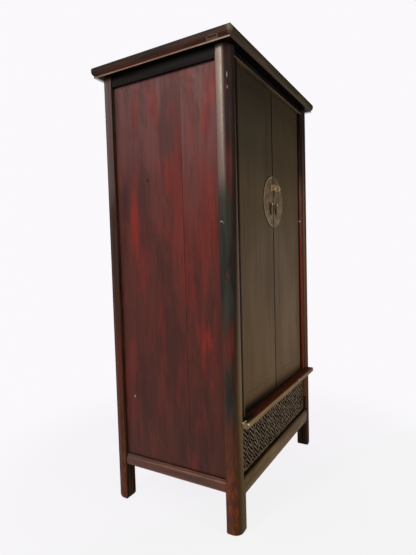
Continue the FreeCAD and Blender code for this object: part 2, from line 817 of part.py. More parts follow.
def make_brass(name):
    """Makes the brass of one door: its half plate, lock staple, pull eye and drop pull."""
    make_plate(name)
    make_loop(
        f"{name}_lock_staple", name, size.staple_place, at.staple_z,
        size.staple_thickness, size.staple_tall, size.staple_reach, size.staple_hole,
    )
    make_loop(
        f"{name}_pull_eye", name, size.eye_place, at.eye_z,
        size.eye_thickness, size.eye_tall, size.eye_reach, size.eye_hole,
    )
    make_pull(name)


def cut_housings():
    """Cuts each carrier to take what is let into it."""
    for label, boxes in housings.items():
        for box in boxes:
            block(pieces[label], "Subtractive", *box)


def write_pieces():
    """Checks the whole document, then writes each sub-part to a file of its own."""
    document.recompute()
    for item in document.Objects:
        if "Invalid" in item.State or "Error" in item.State:
            raise RuntimeError(f"{item.Label} failed: {item.State}")
    for label, piece in pieces.items():
        if piece.Shape.isNull() or not piece.Shape.isValid():
            raise RuntimeError(f"{label} has no valid shape")
    os.makedirs("parts", exist_ok=True)
    for label, piece in pieces.items():
        piece.Shape.exportStep(f"parts/{label}.step")


for end in ("front", "rear"):
    for name in SIDES:
        make_post(end, name)
make_cornice()
make_top()
make_front_rails()
make_rear_rails()
make_ledge()
make_pivot_sockets()
make_jambs()
make_carved_panel()
make_back()
make_compartment_floor()
make_lids()
make_shelf()
for name in SIDES:
    make_side_rails(name)
    make_side_boards(name)
    make_door_frame(name)
    make_door_panel(name)
    make_brass(name)
cut_housings()
write_pieces()
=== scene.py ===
import json
import math
import random

import bmesh
import bpy
from mathutils import Matrix, Vector, noise


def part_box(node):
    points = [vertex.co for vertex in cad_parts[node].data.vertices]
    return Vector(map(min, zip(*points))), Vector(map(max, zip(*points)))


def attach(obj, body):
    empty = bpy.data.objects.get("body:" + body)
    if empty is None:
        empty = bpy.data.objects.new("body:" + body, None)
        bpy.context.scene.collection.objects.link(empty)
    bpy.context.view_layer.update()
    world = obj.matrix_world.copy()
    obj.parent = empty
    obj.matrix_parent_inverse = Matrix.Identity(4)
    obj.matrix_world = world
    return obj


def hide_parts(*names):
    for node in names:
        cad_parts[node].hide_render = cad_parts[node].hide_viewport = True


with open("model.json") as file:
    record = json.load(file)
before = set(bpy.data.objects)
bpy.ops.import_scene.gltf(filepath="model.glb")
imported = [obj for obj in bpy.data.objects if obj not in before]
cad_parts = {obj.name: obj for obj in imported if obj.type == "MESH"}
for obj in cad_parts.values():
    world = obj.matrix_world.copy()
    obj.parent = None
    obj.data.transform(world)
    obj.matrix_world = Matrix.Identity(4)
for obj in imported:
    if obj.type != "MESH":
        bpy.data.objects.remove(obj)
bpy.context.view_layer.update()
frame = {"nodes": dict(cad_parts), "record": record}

MM = 0.001
X, Y, Z = 0, 1, 2

# Camera of the photograph, in the cabinet's frame
CAMERA_PLACE = Vector((-1.8100, -0.9762, 1.0704))
CAMERA_YAW = math.radians(59.87)
CAMERA_PITCH = math.radians(-3.38)
CAMERA_ROLL = math.radians(-1.57)
CAMERA_LENS = 27.30
CAMERA_SENSOR = 36.0

# Mesh work
WELD = 0.02 * MM
FLAT = math.radians(0.5)
SHARP = math.radians(28)
SMOOTH = math.radians(50)
STATION = 38 * MM
WAVE = 0.35 * MM
WAVE_SCALE = 7.0
BOARD_SEED = 11
BOARD_SHIFT = 9

# How much the shading rounds the flat sides of the posts, and how far from their inner edge it is level
POST_SWELL = 2.1 * MM
POST_SWELL_LEVEL = 8 * MM

# Fretwork, cut at an angle to the cabinet
FRET_TURN = math.radians(45)
FRET_PITCH = 13.7 * MM
FRET_STROKE = 6.2 * MM
FRET_SINK = 6.0 * MM
FRET_ROOT = 0.3 * MM
FRET_BORDER = 8 * MM
FRET_REACH = 14
FRET_PLAY = 0.3 * MM
FRET_EASE = 0.7 * MM
FRET_MARGIN = 3 * FRET_PITCH
FRET_ROUGH = 0.5 * MM
FRET_ROUGH_SCALE = 40
FRET_SEED = 5

# Spots on the lacquer: middle, half sizes and share; a half size of WIDE takes in every place
WIDE = 10.0
RED_PATCHES = (
    ((0, -0.167, 0.700), (WIDE, 0.045, 0.125), 1.0),
    ((0, 0.014, 1.412), (WIDE, 0.030, 0.110), 0.7),
    ((0, 0.170, 1.200), (WIDE, 0.038, 0.160), 0.6),
    ((0, 0.007, 1.187), (WIDE, 0.025, 0.060), 0.5),
    ((0, -0.200, 1.650), (WIDE, 0.050, 0.100), 0.7),
    ((0, -0.212, 1.300), (WIDE, 0.022, 0.170), 0.5),
    ((0, -0.090, 0.950), (WIDE, 0.030, 0.120), 0.35),
    ((0, 0.240, 0.500), (WIDE, 0.016, 0.140), 0.5),
)
DARK_SMUDGES = (
    ((0, 0.220, 1.287), (WIDE, 0.024, 0.110), 0.5),
    ((0, 0.095, 1.660), (WIDE, 0.040, 0.080), 0.35),
    ((0, -0.142, 1.550), (WIDE, 0.034, 0.060), 0.4),
    ((0, -0.167, 1.200), (WIDE, 0.028, 0.070), 0.4),
    ((0, -0.192, 0.875), (WIDE, 0.024, 0.080), 0.45),
    ((0, 0.060, 0.620), (WIDE, 0.040, 0.150), 0.3),
)
KNOTS = (((0, 0.091, 1.369), (WIDE, 0.005, 0.010), 0.9),)
SPECKS = (((0, 0.197, 0.465), (WIDE, 0.004, 0.005), 0.8),)
WORN_CORNERS = (((-0.480, -0.316, 1.838), (0.012, 0.012, 0.018), 0.9),)
LEDGE_CHIPS = (
    ((-0.424, -0.303, 0.433), (0.010, 0.004, 0.006), 1.0),
    ((-0.408, -0.307, 0.433), (0.012, 0.003, 0.006), 0.8),
    ((-0.426, -0.316, 0.433), (0.012, 0.003, 0.005), 0.9),
    ((-0.424, -0.327, 0.427), (0.014, 0.004, 0.006), 1.0),
    ((0.186, -0.326, 0.431), (0.010, 0.005, 0.004), 0.7),
)
# Painted highlights along the top of the left side's bottom rail, strongest near the front post
PAINTED_RAIL_HIGHLIGHTS = (
    ((-0.450, -0.190, 0.218), (0.030, 0.090, 0.004), 0.9),
    ((-0.450, -0.020, 0.218), (0.030, 0.130, 0.003), 0.5),
)
POST_GREENS = (
    ((-0.455, -0.266, 0.540), (0.040, 0.026, 0.140), 1.0),
    ((-0.455, -0.268, 0.920), (0.080, 0.060, 0.130), 1.0),
    ((-0.455, -0.268, 1.060), (0.080, 0.060, 0.160), 1.0),
    ((-0.455, -0.268, 1.195), (0.080, 0.060, 0.120), 1.0),
)
POST_CHIPS = (
    ((-0.447, -0.285, 1.700), (0.0022, 0.0018, 0.010), 0.45),
    ((-0.447, -0.285, 1.655), (0.0022, 0.0018, 0.007), 0.40),
    ((-0.452, -0.254, 1.178), (0.010, 0.009, 0.0020), 0.7),
)
JAMB_CHIPS = (((0.369, -0.281, 1.222), (0.006, 0.006, 0.004), 1.0),)
POST_REDS = (
    ((-0.443, -0.290, 1.360), (0.014, 0.012, 0.110), 0.50),
    ((-0.451, -0.275, 0.985), (0.008, 0.008, 0.012), 0.8),
    ((-0.455, -0.280, 0.740), (0.030, 0.012, 0.060), 0.4),
)
# The round plate's middle and radius, and the painted shadows that the pulls and staples cast on it
PLATE_PLACE = ((0.0, 0.0, 1.290), 0.116)
PULL_AND_STAPLE_SHADOWS = (
    ((-0.050, -0.2775, 1.274), (0.0060, 0.002, 0.014), 0.95),
    ((-0.042, -0.2775, 1.257), (0.0075, 0.002, 0.015), 0.95),
    ((-0.033, -0.2775, 1.241), (0.0075, 0.002, 0.011), 0.9),
    ((0.012, -0.2775, 1.264), (0.0060, 0.002, 0.012), 0.95),
    ((0.021, -0.2775, 1.251), (0.0085, 0.002, 0.013), 0.95),
    ((0.033, -0.2775, 1.238), (0.0085, 0.002, 0.011), 0.9),
    ((0.008, -0.2775, 1.330), (0.0100, 0.002, 0.018), 0.95),
    ((-0.038, -0.2775, 1.347), (0.0120, 0.002, 0.009), 0.7),
)
# The ledge's left end and its top
LEDGE_END = (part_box("ledge")[0].x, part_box("ledge")[1].z)
# The end of a tenon showing in the left side of the moulding: across, half its width, low and high
TENON_MARK = (-0.248, 0.021, 1.8165, 1.8270)

# The stage: how the surround is seen, how much it lights the cabinet, and the floor near the camera
SURROUND = (0.956, 0.939, 0.965, 1.0)
SKY_FILL = (0.30, 0.30, 0.30, 1.0)
NEAR_FLOOR = (0.940, 0.940, 0.940, 1.0)
NEAR_SIDE = (-0.483, -0.876, 0.0)
FLOOR_COLOUR = (0.86, 0.86, 0.86, 1)
FLOOR_GLOW = 0.90
FLOOR_SIZE = 60
FLOOR_DROP = 0.4 * MM
# The dark flag: name, place, facing, width and height
FLAG = ("dark_flag", (2.3, -1.9, 2.9), (-0.86, 0.5, 0.0), 5.0, 3.2)
# Lamps: name, place, aim, width, height, power and colour
WHITE = (1.0, 1.0, 1.0)
LAMPS = (
    ("side_window", (-3.0, 0.5, 3.0), (-0.4, 0.0, 1.2), 0.7, 1.5, 47, (1.0, 0.95, 0.9)),
    ("front_softbox", (-1.2, -3.4, 2.3), (0.0, 0.0, 0.8), 2.4, 2.0, 50, WHITE),
    ("back_fill", (2.6, 2.6, 2.6), (0.0, 0.0, 0.8), 2.4, 2.0, 40, WHITE),
)

# Sockets of Blender's colour mix node
MIX_FACTOR, MIX_FIRST, MIX_SECOND, MIX_RESULT = 0, 6, 7, 2

BODY_OF = {
    node: body
    for body, nodes in frame["record"]["behaviour"]["bodies"].items()
    for node in nodes
}


def paint(red, green, blue):
    """Gives the linear colour of a colour written as it is seen, from 0 to 255."""
    def linear(level):
        share = level / 255
        return share / 12.92 if share <= 0.04045 else ((share + 0.055) / 1.055) ** 2.4
    return linear(red), linear(green), linear(blue), 1.0


class Finish:
    """A material whose nodes are made by short calls, in object coordinates."""

    def __init__(self, name):
        self.material = bpy.data.materials.new(name)
        self.material.use_nodes = True
        self.tree = self.material.node_tree
        self.surface = self.tree.nodes["Principled BSDF"]
        place = self.node("ShaderNodeTexCoord").outputs["Object"]
        board = self.node("ShaderNodeAttribute", attribute_name="board").outputs["Vector"]
        self.place = place
        self.own_place = self.vector("ADD", place, board)

    def node(self, kind, inputs=None, **settings):
        item = self.tree.nodes.new(kind)
        for key, value in settings.items():
            setattr(item, key, value)
        for key, value in (inputs or {}).items():
            self.feed(item.inputs[key], value)
        return item

    def feed(self, socket, value):
        if isinstance(value, bpy.types.NodeSocket):
            self.tree.links.new(value, socket)
        else:
            socket.default_value = value

    def set(self, **inputs):
        for key, value in inputs.items():
            self.feed(self.surface.inputs[key.replace("_", " ")], value)

    def vector(self, operation, first, second):
        return self.node("ShaderNodeVectorMath", {0: first, 1: second}, operation=operation).outputs[0]

    def maths(self, operation, first, second=0.0):
        return self.node("ShaderNodeMath", {0: first, 1: second}, operation=operation).outputs[0]

    def length(self, vector):
        return self.node("ShaderNodeVectorMath", {0: vector}, operation="LENGTH").outputs["Value"]

    def times(self, first, second):
        return self.maths("MULTIPLY", first, second)

    def larger(self, first, second):
        return self.maths("MAXIMUM", first, second)

    def noise(self, scales, detail=4.0, roughness=0.55, distortion=0.0, own=True):
        vector = self.vector("MULTIPLY", self.own_place if own else self.place, scales)
        inputs = {
            "Vector": vector, "Scale": 1.0, "Detail": detail,
            "Roughness": roughness, "Distortion": distortion,
        }
        return self.node("ShaderNodeTexNoise", inputs).outputs["Fac"]

    def ramp(self, value, low, high, first=0.0, last=1.0):
        inputs = {"Value": value, "From Min": low, "From Max": high, "To Min": first, "To Max": last}
        return self.node("ShaderNodeMapRange", inputs, interpolation_type="SMOOTHSTEP").outputs["Result"]

    def mix(self, factor, first, second):
        inputs = {MIX_FACTOR: factor, MIX_FIRST: first, MIX_SECOND: second}
        return self.node("ShaderNodeMix", inputs, data_type="RGBA").outputs[MIX_RESULT]

    def blend(self, level, low, high, first, second, share=1.0):
        """Goes from one colour towards another, up to a share, as a level goes from low to high."""
        return self.mix(self.ramp(level, low, high, 0.0, share), first, second)

    def rub(self, colour, share, shade):
        """Lays a shade over a colour along the eased edges, up to a share."""
        return self.mix(self.times(self.edges(), share), colour, shade)

    def part(self, axis):
        """Gives one coordinate of the place."""
        return self.node("ShaderNodeSeparateXYZ", {0: self.place}).outputs[axis]

    def edges(self):
        """Gives 1 where an edge is eased, from the mesh's own attribute."""
        return self.node("ShaderNodeAttribute", attribute_name="worn").outputs["Fac"]

    def normal(self, axis):
        """Gives one coordinate of the surface's own direction, before any relief."""
        facing = self.node("ShaderNodeTexCoord").outputs["Normal"]
        return self.node("ShaderNodeSeparateXYZ", {0: facing}).outputs[axis]

    def outward(self, axis):
        """Gives how far the surface faces away from the cabinet's middle in one direction."""
        return self.times(self.normal(axis), self.maths("SIGN", self.part(axis)))

    def blend_up(self, *stops):
        """Blends colours upwards: each stop is a height over the floor, in metres, and a colour as seen."""
        colour = paint(*stops[0][1:])
        for (low, *_), (high, *shade) in zip(stops, stops[1:]):
            colour = self.blend(self.part(Z), low, high, colour, paint(*shade))
        return colour

    def spots(self, places, waver=0.02):
        """Gives how far a place lies in the nearest of some spots, each a middle, half sizes and a share."""
        stir = self.vector("SUBTRACT", self.node("ShaderNodeTexNoise", {
            "Vector": self.vector("MULTIPLY", self.place, (60.0, 60.0, 9.0)), "Scale": 1.0, "Detail": 4.0,
        }).outputs["Color"], (0.5, 0.5, 0.5))
        place = self.vector("ADD", self.place, self.vector("MULTIPLY", stir, (waver, waver, waver * 8)))
        total = 0.0
        for middle, halves, share in places:
            reach = self.length(self.vector("DIVIDE", self.vector("SUBTRACT", place, middle), halves))
            total = self.larger(self.ramp(reach, 1.35, 0.3, 0.0, share), total)
        return total

    def apart(self, axis, middle):
        """Gives the distance from a plane."""
        return self.maths("ABSOLUTE", self.maths("SUBTRACT", self.part(axis), middle))

    def outline(self, axis, middle, half, low, high, width):
        """Gives 1 along the outline of a rectangle, across an axis and up."""
        beside = self.maths("SUBTRACT", self.apart(axis, middle), half)
        above = self.maths("SUBTRACT", self.apart(Z, (low + high) / 2), (high - low) / 2)
        off = self.maths("ABSOLUTE", self.larger(beside, above))
        return self.ramp(off, width, width / 2)

    def paint_corner_shade(self, colour, reach, share):
        """Paints shade into a colour in corners and narrow gaps, found by ambient occlusion."""
        openness = self.node("ShaderNodeAmbientOcclusion", {"Distance": reach}, samples=6).outputs["AO"]
        return self.blend(openness, 0.85, 0.35, colour, paint(12, 9, 7), share)

    def relief(self, *layers):
        """Adds up bumps, each a height with its strength and depth in metres."""
        normal = None
        for height, strength, depth in layers:
            inputs = {"Height": height, "Strength": strength, "Distance": depth}
            if normal is not None:
                inputs["Normal"] = normal
            normal = self.node("ShaderNodeBump", inputs).outputs["Normal"]
        self.set(Normal=normal)


def along(axis, fine, long):
    """Gives texture scales that run with the grain: fine across it and long with it."""
    return tuple(long if axis == index else fine for index in range(3))


def layers_of_grain(finish, axis):
    """Gives three noises that run with the grain, from wide to fine."""
    wide = finish.noise(along(axis, 26.0, 3.0), detail=4.0, roughness=0.6)
    streak = finish.noise(along(axis, 95.0, 2.6), detail=4.0, roughness=0.6)
    fibre = finish.noise(along(axis, 420.0, 9.0), detail=3.0)
    return wide, streak, fibre


def front_lacquer(finish, axis):
    """Dark brown lacquer of the doors, with a painted reflection that makes it lighter and warmer towards
    the bottom.
    """
    wide, streak, fibre = layers_of_grain(finish, axis)
    mottle = finish.noise((5.0, 5.0, 2.2), detail=3.0, own=False)
    # Painted reflection: lighter and warmer towards the bottom, darker towards the top
    colour = finish.blend_up(
        (0.45, 104, 79, 48), (0.70, 102, 77, 48), (1.00, 90, 72, 49),
        (1.30, 85, 72, 53), (1.52, 66, 58, 45), (1.76, 44, 39, 31),
    )
    colour = finish.blend(finish.part(X), -0.25, 0.25, colour, paint(126, 98, 62), 0.12)
    colour = finish.blend(mottle, 0.35, 0.7, colour, paint(46, 34, 27), 0.22)
    colour = finish.blend(streak, 0.35, 0.75, colour, paint(34, 27, 21), 0.28)
    colour = finish.blend(fibre, 0.45, 0.8, colour, paint(94, 74, 54), 0.2)
    colour = finish.rub(colour, finish.ramp(wide, 0.45, 0.6, 0.0, 0.35), paint(100, 80, 58))
    stile_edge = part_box("right_door_hinge_stile")[1].x
    # Painted shade in the gap where the doors meet and along their hinge edges
    meeting_gap_shade = finish.ramp(finish.apart(X, 0.0), 6.0 * MM, 3.4 * MM)
    off_middle = finish.maths("ABSOLUTE", finish.part(X))
    hinge_gap_shade = finish.ramp(off_middle, stile_edge - 5.0 * MM, stile_edge - 2.0 * MM)
    colour = finish.mix(finish.larger(meeting_gap_shade, hinge_gap_shade), colour, paint(14, 11, 9))
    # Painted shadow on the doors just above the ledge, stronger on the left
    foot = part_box("left_door_bottom_rail")[0].z
    ledge_shadow = finish.ramp(finish.part(Z), foot + 52 * MM, foot + 6 * MM)
    ledge_shadow = finish.times(ledge_shadow, finish.ramp(finish.part(X), 0.3, -0.3, 0.3, 0.95))
    colour = finish.mix(ledge_shadow, colour, paint(14, 11, 9))
    # Painted shade in corners and narrow gaps, and more widely near the frame
    colour = finish.paint_corner_shade(colour, 0.010, 0.85)
    colour = finish.paint_corner_shade(colour, 0.045, 0.75)
    finish.set(
        Base_Color=colour,
        Roughness=finish.ramp(mottle, 0.3, 0.7, 0.34, 0.46),
        Specular_IOR_Level=0.03,
        Specular_Tint=paint(255, 230, 190),
    )
    finish.relief((streak, 0.25, 0.5 * MM), (fibre, 0.22, 0.15 * MM))


def fret_lacquer(finish, axis):
    """Brown lacquer of the carved panel, rubbed to tan on the strokes and painted black in the recesses as
    their shade.
    """
    wide, streak, fibre = layers_of_grain(finish, axis)
    low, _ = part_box("carved_panel")
    blotch = finish.noise((34.0,) * 3, detail=4.0, roughness=0.7)
    depth = finish.ramp(finish.part(Y), low.y + FRET_SINK * 0.14, low.y + FRET_SINK * 0.3)
    stroke = finish.blend(blotch, 0.4, 0.6, paint(56, 44, 33), paint(116, 93, 64))
    stroke = finish.blend(fibre, 0.45, 0.8, stroke, paint(124, 100, 70), 0.3)
    stroke = finish.rub(stroke, finish.ramp(blotch, 0.4, 0.6, 0.1, 0.8), paint(142, 116, 82))
    # Painted shade: the recesses are painted black
    colour = finish.mix(depth, stroke, paint(12, 9, 7))
    # Painted shade in corners and narrow gaps
    colour = finish.paint_corner_shade(colour, 0.006, 0.7)
    finish.set(
        Base_Color=colour,
        Roughness=finish.ramp(wide, 0.3, 0.7, 0.4, 0.55),
        Specular_IOR_Level=finish.ramp(depth, 0.0, 0.5, 0.1, 0.01),
        Specular_Tint=paint(255, 230, 190),
    )
    finish.relief((wide, 0.3, 0.5 * MM), (streak, 0.3, 0.4 * MM), (fibre, 0.22, 0.15 * MM))


def side_lacquer(finish, axis):
    """Red-brown lacquer over upright boards, with a painted sheen that greys it near the top, red patches
    and smudges of soot.
    """
    wide, streak, fibre = layers_of_grain(finish, axis)
    cloud = finish.noise((9.0, 9.0, 2.6), detail=6.0, roughness=0.62, distortion=0.4)
    patch = finish.noise((15.0, 15.0, 3.0), detail=5.0, roughness=0.6)
    # Painted sheen: the colour greys and lightens towards the top
    colour = finish.blend_up(
        (0.22, 78, 42, 34), (0.70, 90, 44, 37), (1.05, 94, 46, 41),
        (1.30, 102, 56, 52), (1.55, 110, 70, 68), (1.75, 124, 84, 82),
    )
    colour = finish.blend(finish.part(Y), -0.1, 0.25, colour, paint(62, 32, 29), 0.3)
    colour = finish.blend(cloud, 0.42, 0.62, colour, paint(52, 32, 30), 0.6)
    colour = finish.blend(patch, 0.46, 0.66, colour, paint(128, 46, 40), 0.5)
    reds = finish.times(finish.spots(RED_PATCHES, waver=0.05), finish.ramp(patch, 0.4, 0.56, 0.1, 0.9))
    colour = finish.mix(reds, colour, paint(152, 42, 34))
    smudges = finish.times(finish.spots(DARK_SMUDGES, waver=0.05), finish.ramp(patch, 0.6, 0.4, 0.2, 1.0))
    colour = finish.mix(smudges, colour, paint(40, 27, 25))
    colour = finish.blend(streak, 0.45, 0.75, colour, paint(50, 29, 26), 0.3)
    colour = finish.blend(fibre, 0.45, 0.8, colour, paint(140, 80, 66), 0.14)
    colour = finish.mix(finish.spots(KNOTS, waver=0.002), colour, paint(24, 14, 12))
    colour = finish.mix(finish.spots(SPECKS, waver=0.002), colour, paint(196, 178, 160))
    # Painted shade in corners and narrow gaps
    colour = finish.paint_corner_shade(colour, 0.012, 0.9)
    finish.set(
        Base_Color=colour,
        Roughness=finish.ramp(cloud, 0.35, 0.7, 0.32, 0.46),
        Specular_IOR_Level=0.15,
        Specular_Tint=paint(255, 232, 226),
    )
    finish.relief((wide, 0.2, 0.6 * MM), (streak, 0.25, 0.4 * MM), (fibre, 0.2, 0.15 * MM))


def post_lacquer(finish, axis):
    """Dark lacquer of the posts: glossy near the top, green-black half way down, orange near the floor, with
    painted light on the fronts by the inner edge.
    """
    wide, streak, fibre = layers_of_grain(finish, axis)
    flake = finish.noise(along(axis, 60.0, 22.0), detail=5.0, roughness=0.65)
    outward_x, outward_y = finish.outward(X), finish.outward(Y)
    stray = finish.ramp(streak, 0.3, 0.7, -0.2, 0.2)
    sideways = finish.ramp(finish.maths("ADD", outward_x, stray), 0.72, 0.98)
    ahead = finish.ramp(finish.maths("ADD", outward_y, finish.times(stray, 0.4)), 0.66, 0.86)
    corner = finish.blend_up(
        (0.18, 82, 46, 28), (0.42, 66, 40, 30), (0.60, 50, 34, 27), (0.90, 42, 34, 30),
        (1.12, 36, 33, 31), (1.40, 50, 29, 27), (1.75, 40, 25, 23),
    )
    side = finish.blend_up(
        (0.18, 84, 46, 30), (0.62, 96, 45, 36), (0.85, 74, 42, 37),
        (1.20, 68, 43, 39), (1.45, 74, 50, 47), (1.75, 76, 58, 56),
    )
    colour = finish.mix(sideways, corner, side)
    clouds = finish.blend(finish.part(Z), 0.5, 1.1, paint(98, 52, 33), paint(44, 43, 38))
    colour = finish.blend(wide, 0.48, 0.66, colour, clouds, 0.45)
    colour = finish.blend(streak, 0.42, 0.7, colour, paint(26, 21, 19), 0.45)
    ragged = finish.ramp(flake, 0.32, 0.44, 0.4, 1.0)
    greens = finish.times(finish.spots(POST_GREENS), ragged)
    colour = finish.mix(greens, colour, finish.blend(wide, 0.4, 0.6, paint(48, 51, 45), paint(32, 35, 33)))
    reds = finish.times(finish.spots(POST_REDS), ragged)
    colour = finish.mix(reds, colour, paint(112, 42, 34))
    legs = finish.ramp(finish.part(Z), 0.42, 0.12)
    orange = finish.times(legs, finish.ramp(flake, 0.44, 0.6, 0.0, 0.75))
    colour = finish.mix(orange, colour, paint(128, 62, 34))
    dusty = finish.times(legs, finish.ramp(wide, 0.56, 0.38, 0.0, 0.7))
    colour = finish.mix(dusty, colour, paint(62, 50, 37))
    chips_and_glints = finish.times(finish.spots(POST_CHIPS, waver=0.004), ragged)
    colour = finish.mix(chips_and_glints, colour, paint(210, 196, 182))
    # Painted light: the left posts' fronts turn tan near the inner edge, where their rounding turns to the
    # light
    tan = finish.blend_up(
        (0.18, 92, 74, 48), (0.55, 116, 96, 64), (0.90, 102, 88, 70),
        (1.30, 98, 84, 66), (1.50, 80, 68, 56), (1.70, 50, 43, 36),
    )
    post_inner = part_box("rear_right_post")[0].x
    reach = finish.ramp(finish.part(Z), 0.5, 1.6, 48.0 * MM, 26.0 * MM)
    off_inner = finish.maths("SUBTRACT", finish.times(finish.part(X), -1.0), post_inner)
    near_inner = finish.ramp(finish.maths("DIVIDE", off_inner, reach), 1.0, 0.5)
    dark_front = finish.blend_up((0.40, 60, 44, 32), (0.80, 44, 34, 29), (1.50, 34, 26, 24))
    left_front = finish.mix(near_inner, dark_front, tan)
    right_front = finish.blend_up(
        (0.18, 56, 40, 30), (0.45, 88, 44, 34), (0.65, 84, 45, 36),
        (0.96, 78, 50, 41), (1.40, 56, 38, 33), (1.75, 32, 26, 23),
    )
    front = finish.blend(finish.part(X), -0.1, 0.1, left_front, right_front)
    colour = finish.mix(ahead, colour, front)
    colour = finish.blend(fibre, 0.45, 0.8, colour, paint(112, 76, 58), 0.2)
    colour = finish.rub(colour, finish.ramp(flake, 0.42, 0.58, 0.0, 0.8), paint(150, 104, 74))
    facing_doors = finish.blend_up(
        (0.40, 98, 64, 46), (0.80, 108, 78, 58), (1.22, 108, 84, 64),
        (1.34, 92, 72, 56), (1.50, 62, 50, 42), (1.70, 24, 18, 17),
    )
    colour = finish.blend(outward_x, -0.3, -0.7, colour, facing_doors)
    # Faces that look into the cabinet are darker below the rails and at the back
    inner = finish.larger(finish.ramp(outward_x, -0.6, -0.9), finish.ramp(outward_y, -0.6, -0.9))
    under_rails = finish.maths("GREATER_THAN", finish.ramp(finish.part(Z), 0.30, 0.25), 0.5)
    behind = finish.ramp(finish.part(Y), 0.0, 0.1)
    inner = finish.times(inner, finish.larger(under_rails, behind))
    inner_dark = finish.blend(streak, 0.4, 0.6, paint(34, 25, 19), paint(72, 51, 38))
    colour = finish.mix(inner, colour, inner_dark)
    # Painted shade in corners and narrow gaps
    colour = finish.paint_corner_shade(colour, 0.006, 0.85)
    gloss = finish.ramp(outward_x, 0.9, 1.0, 0.05, 1.0)
    gloss = finish.times(gloss, finish.ramp(finish.part(Z), 1.24, 1.38, 0.16, 1.0))
    gloss = finish.times(gloss, finish.ramp(finish.part(Y), -0.1, 0.1, 1.0, 0.45))
    finish.set(
        Base_Color=colour,
        Roughness=finish.ramp(flake, 0.35, 0.7, 0.33, 0.39),
        Specular_IOR_Level=gloss,
        Specular_Tint=paint(255, 230, 214),
    )
    post_low, post_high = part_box("rear_right_post")
    half = (post_high.y - post_low.y) / 2
    off = finish.maths("SUBTRACT", finish.maths("ABSOLUTE", finish.part(Y)), post_low.y + POST_SWELL_LEVEL)
    swell = finish.times(off, off)
    swell = finish.times(swell, -1.0 / (half * half))
    swell = finish.times(swell, finish.ramp(outward_x, 0.7, 0.95))
    finish.relief(
        (swell, 1.0, POST_SWELL), (flake, 0.05, 0.3 * MM), (streak, 0.06, 0.3 * MM), (fibre, 0.06, 0.12 * MM)
    )


def frame_lacquer(finish, axis):
    """Lacquer of the top and of the round rails at the sides' bottom, red-brown and worn, with painted
    highlights on the rails' tops.
    """
    wide, streak, fibre = layers_of_grain(finish, axis)
    colour = finish.blend(wide, 0.36, 0.62, paint(72, 44, 36), paint(108, 52, 40))
    colour = finish.blend(streak, 0.42, 0.7, colour, paint(40, 28, 24), 0.5)
    colour = finish.blend(fibre, 0.45, 0.8, colour, paint(124, 84, 62), 0.25)
    colour = finish.rub(colour, finish.ramp(wide, 0.42, 0.6, 0.0, 0.8), paint(168, 134, 104))
    # Painted highlight: faces turned partly upwards are lighter
    upward = finish.normal(Z)
    shoulder = finish.times(finish.ramp(upward, 0.3, 0.6), finish.ramp(upward, 0.98, 0.85))
    shoulder = finish.times(shoulder, finish.ramp(wide, 0.4, 0.6, 0.2, 0.7))
    colour = finish.mix(shoulder, colour, paint(140, 106, 88))
    # Painted highlights on the rail's top, near the front post
    chips_and_glints = finish.times(finish.spots(PAINTED_RAIL_HIGHLIGHTS, waver=0.003), finish.ramp(wide, 0.35, 0.6, 0.5, 1.0))
    colour = finish.mix(chips_and_glints, colour, paint(196, 174, 150))
    # Painted shade in corners and narrow gaps
    colour = finish.paint_corner_shade(colour, 0.012, 0.85)
    finish.set(
        Base_Color=colour,
        Roughness=finish.ramp(wide, 0.35, 0.65, 0.28, 0.42),
        Specular_IOR_Level=0.36,
        Specular_Tint=paint(255, 232, 214),
    )
    finish.relief((wide, 0.2, 0.5 * MM), (streak, 0.3, 0.35 * MM), (fibre, 0.25, 0.15 * MM))


